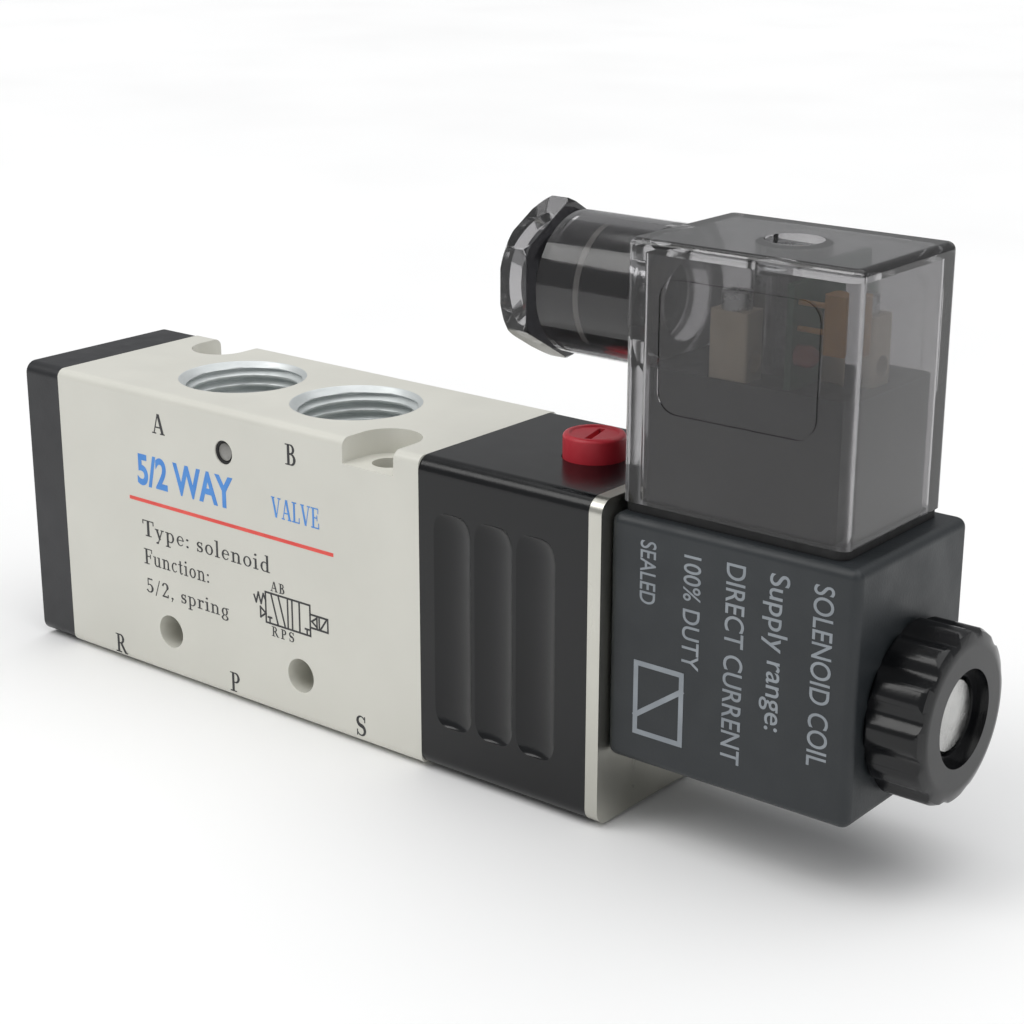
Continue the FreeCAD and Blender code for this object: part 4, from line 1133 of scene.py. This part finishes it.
# the 5/2 symbol: two boxes, spring on the left, coil on the right
SYMBOL_Z = 14.6
draw("print_symbol", [
    # the two squares
    [(6.3, 2.1), (14.3, 2.1)], [(6.3, -2.1), (14.3, -2.1)],
    [(6.3, -2.1), (6.3, 2.1)], [(10.3, -2.1), (10.3, 2.1)], [(14.3, -2.1), (14.3, 2.1)],
    # left square: a blocked port and two slanting ways
    [(7.0, -2.1), (7.0, -1.3)], [(6.7, -1.3), (7.3, -1.3)],
    [(8.5, -2.1), (7.3, 2.1)], [(9.8, -2.1), (8.6, 2.1)],
    # right square: two straight ways and a blocked port
    [(11.1, -2.1), (11.1, 2.1)], [(12.4, -2.1), (12.4, 2.1)],
    [(13.7, -2.1), (13.7, -1.3)], [(13.4, -1.3), (14.0, -1.3)],
    # spring and pilot arrow on the left
    [(6.3, 0.9), (5.9, 1.7), (5.45, 0.3), (5.0, 1.7), (4.55, 0.3), (4.2, 1.2)],
    [(6.3, -0.9), (5.3, -0.2), (5.3, -1.6), (6.3, -0.9)],
    # coil and pilot arrow on the right
    [(14.3, 0.9), (17.4, 0.9)], [(14.3, -0.9), (17.4, -0.9)], [(17.4, -0.9), (17.4, 0.9)],
    [(15.9, -0.9), (15.9, 0.9)], [(16.1, -0.8), (17.2, 0.8)],
    [(14.6, 0), (15.5, 0.65), (15.5, -0.65), (14.6, 0)],
], SYMBOL_Z, BODY_PRINT, 0.25, "ink_black")
serif("print_symbol_ab", "AB", 1.35, 1.3, "ink_black", 8.6, SYMBOL_Z + 3.15, 0.2)
serif("print_symbol_rps", "RPS", 1.35, 1.3, "ink_black", 9.3, SYMBOL_Z - 3.1, 0.3)

# ---------------------------------------------------------------- printing on the coil
# words, x of the line, size, squeeze
COIL_LINES = (("SOLENOID COIL", 87.8, 3.5, 0.80), ("Supply range:", 82.4, 3.5, 0.98),
              ("DIRECT CURRENT", 76.9, 3.5, 0.82), ("100% DUTY", 71.3, 3.2, 0.84),
              ("SEALED", 65.4, 3.0, 0.75))
for i, (words, x, size, squeeze) in enumerate(COIL_LINES, 1):
    text(f"coil_line_{i}", words, size, "ink_grey", on_front_down(x, COIL_PRINT, 36.2),
         bold=0.02, squeeze=squeeze, align="LEFT")
# plain coil symbol: a box with a diagonal
draw("coil_symbol", [
    [(64.2, 21.4), (70.4, 21.4)], [(64.2, 13.0), (70.4, 13.0)], [(64.2, 13.0), (64.2, 21.4)],
    [(70.4, 13.0), (70.4, 21.4)], [(64.2, 15.0), (70.4, 19.4)],
], 0, COIL_PRINT, 0.62, "ink_grey")

# ---------------------------------------------------------------- studio
FLOOR = 3000                        # half side
floor = mesh_from("floor", [(-FLOOR, -FLOOR, -0.5), (FLOOR, -FLOOR, -0.5),
                            (FLOOR, FLOOR, -0.5), (-FLOOR, FLOOR, -0.5)], [(0, 1, 2, 3)])
floor.data.materials.append(MATERIALS["studio_floor"])

# the camera sees a brighter background than the one that lights the valve
world = bpy.data.worlds.new("studio")
bpy.context.scene.world = world
world.use_nodes = True
tree = world.node_tree
tree.nodes.clear()
output = add_node(tree, "ShaderNodeOutputWorld")
ambient = add_node(tree, "ShaderNodeBackground",
                   {"Color": (0.98, 0.99, 1.0, 1), "Strength": 0.36})
backdrop = add_node(tree, "ShaderNodeBackground",
                    {"Color": (0.95, 0.955, 0.96, 1), "Strength": 1.0})
ray = add_node(tree, "ShaderNodeLightPath")
mix = add_node(tree, "ShaderNodeMixShader")
tree.links.new(ray.outputs["Is Camera Ray"], mix.inputs[0])
tree.links.new(ambient.outputs[0], mix.inputs[1])
tree.links.new(backdrop.outputs[0], mix.inputs[2])
tree.links.new(mix.outputs[0], output.inputs[0])


def soft_sun(name, toward, power, angle, color=(1, 1, 1)):
    """Sun standing in the direction toward; angle is its spread in degrees."""
    light = bpy.data.lights.new(name, "SUN")
    light.energy = power
    light.angle = math.radians(angle)
    light.color = color
    sun = link(light, name)
    sun.rotation_euler = (-Vector(toward)).to_track_quat("-Z", "Y").to_euler()


soft_sun("key", toward=(-0.42, -0.52, 0.74), power=0.85, angle=34, color=(1.0, 0.995, 0.98))
soft_sun("overhead", toward=(0.08, 0.12, 1.0), power=1.7, angle=80)
soft_sun("rim", toward=(0.85, -0.25, 0.45), power=0.25, angle=30)

CAMERA_AT = (0.19056, -0.19117, 0.11127)        # metres
CAMERA_LOOK = (-0.5961, 0.7395, -0.3128)
CAMERA_ROLL = math.radians(0.12)
lens = bpy.data.cameras.new("camera")
lens.sensor_width = 36
lens.lens = 73.45
lens.clip_start = 0.01
lens.clip_end = 20
camera = link(lens, "camera")
look = Vector(CAMERA_LOOK).normalized()
level = look.cross(Vector((0, 0, 1))).normalized()
upright = level.cross(look)
right = level * math.cos(CAMERA_ROLL) + upright * math.sin(CAMERA_ROLL)
above = upright * math.cos(CAMERA_ROLL) - level * math.sin(CAMERA_ROLL)
camera.matrix_world = Matrix((*zip(right, above, -look, CAMERA_AT), (0, 0, 0, 1)))
bpy.context.scene.camera = camera
bpy.context.scene.view_settings.view_transform = "Standard"
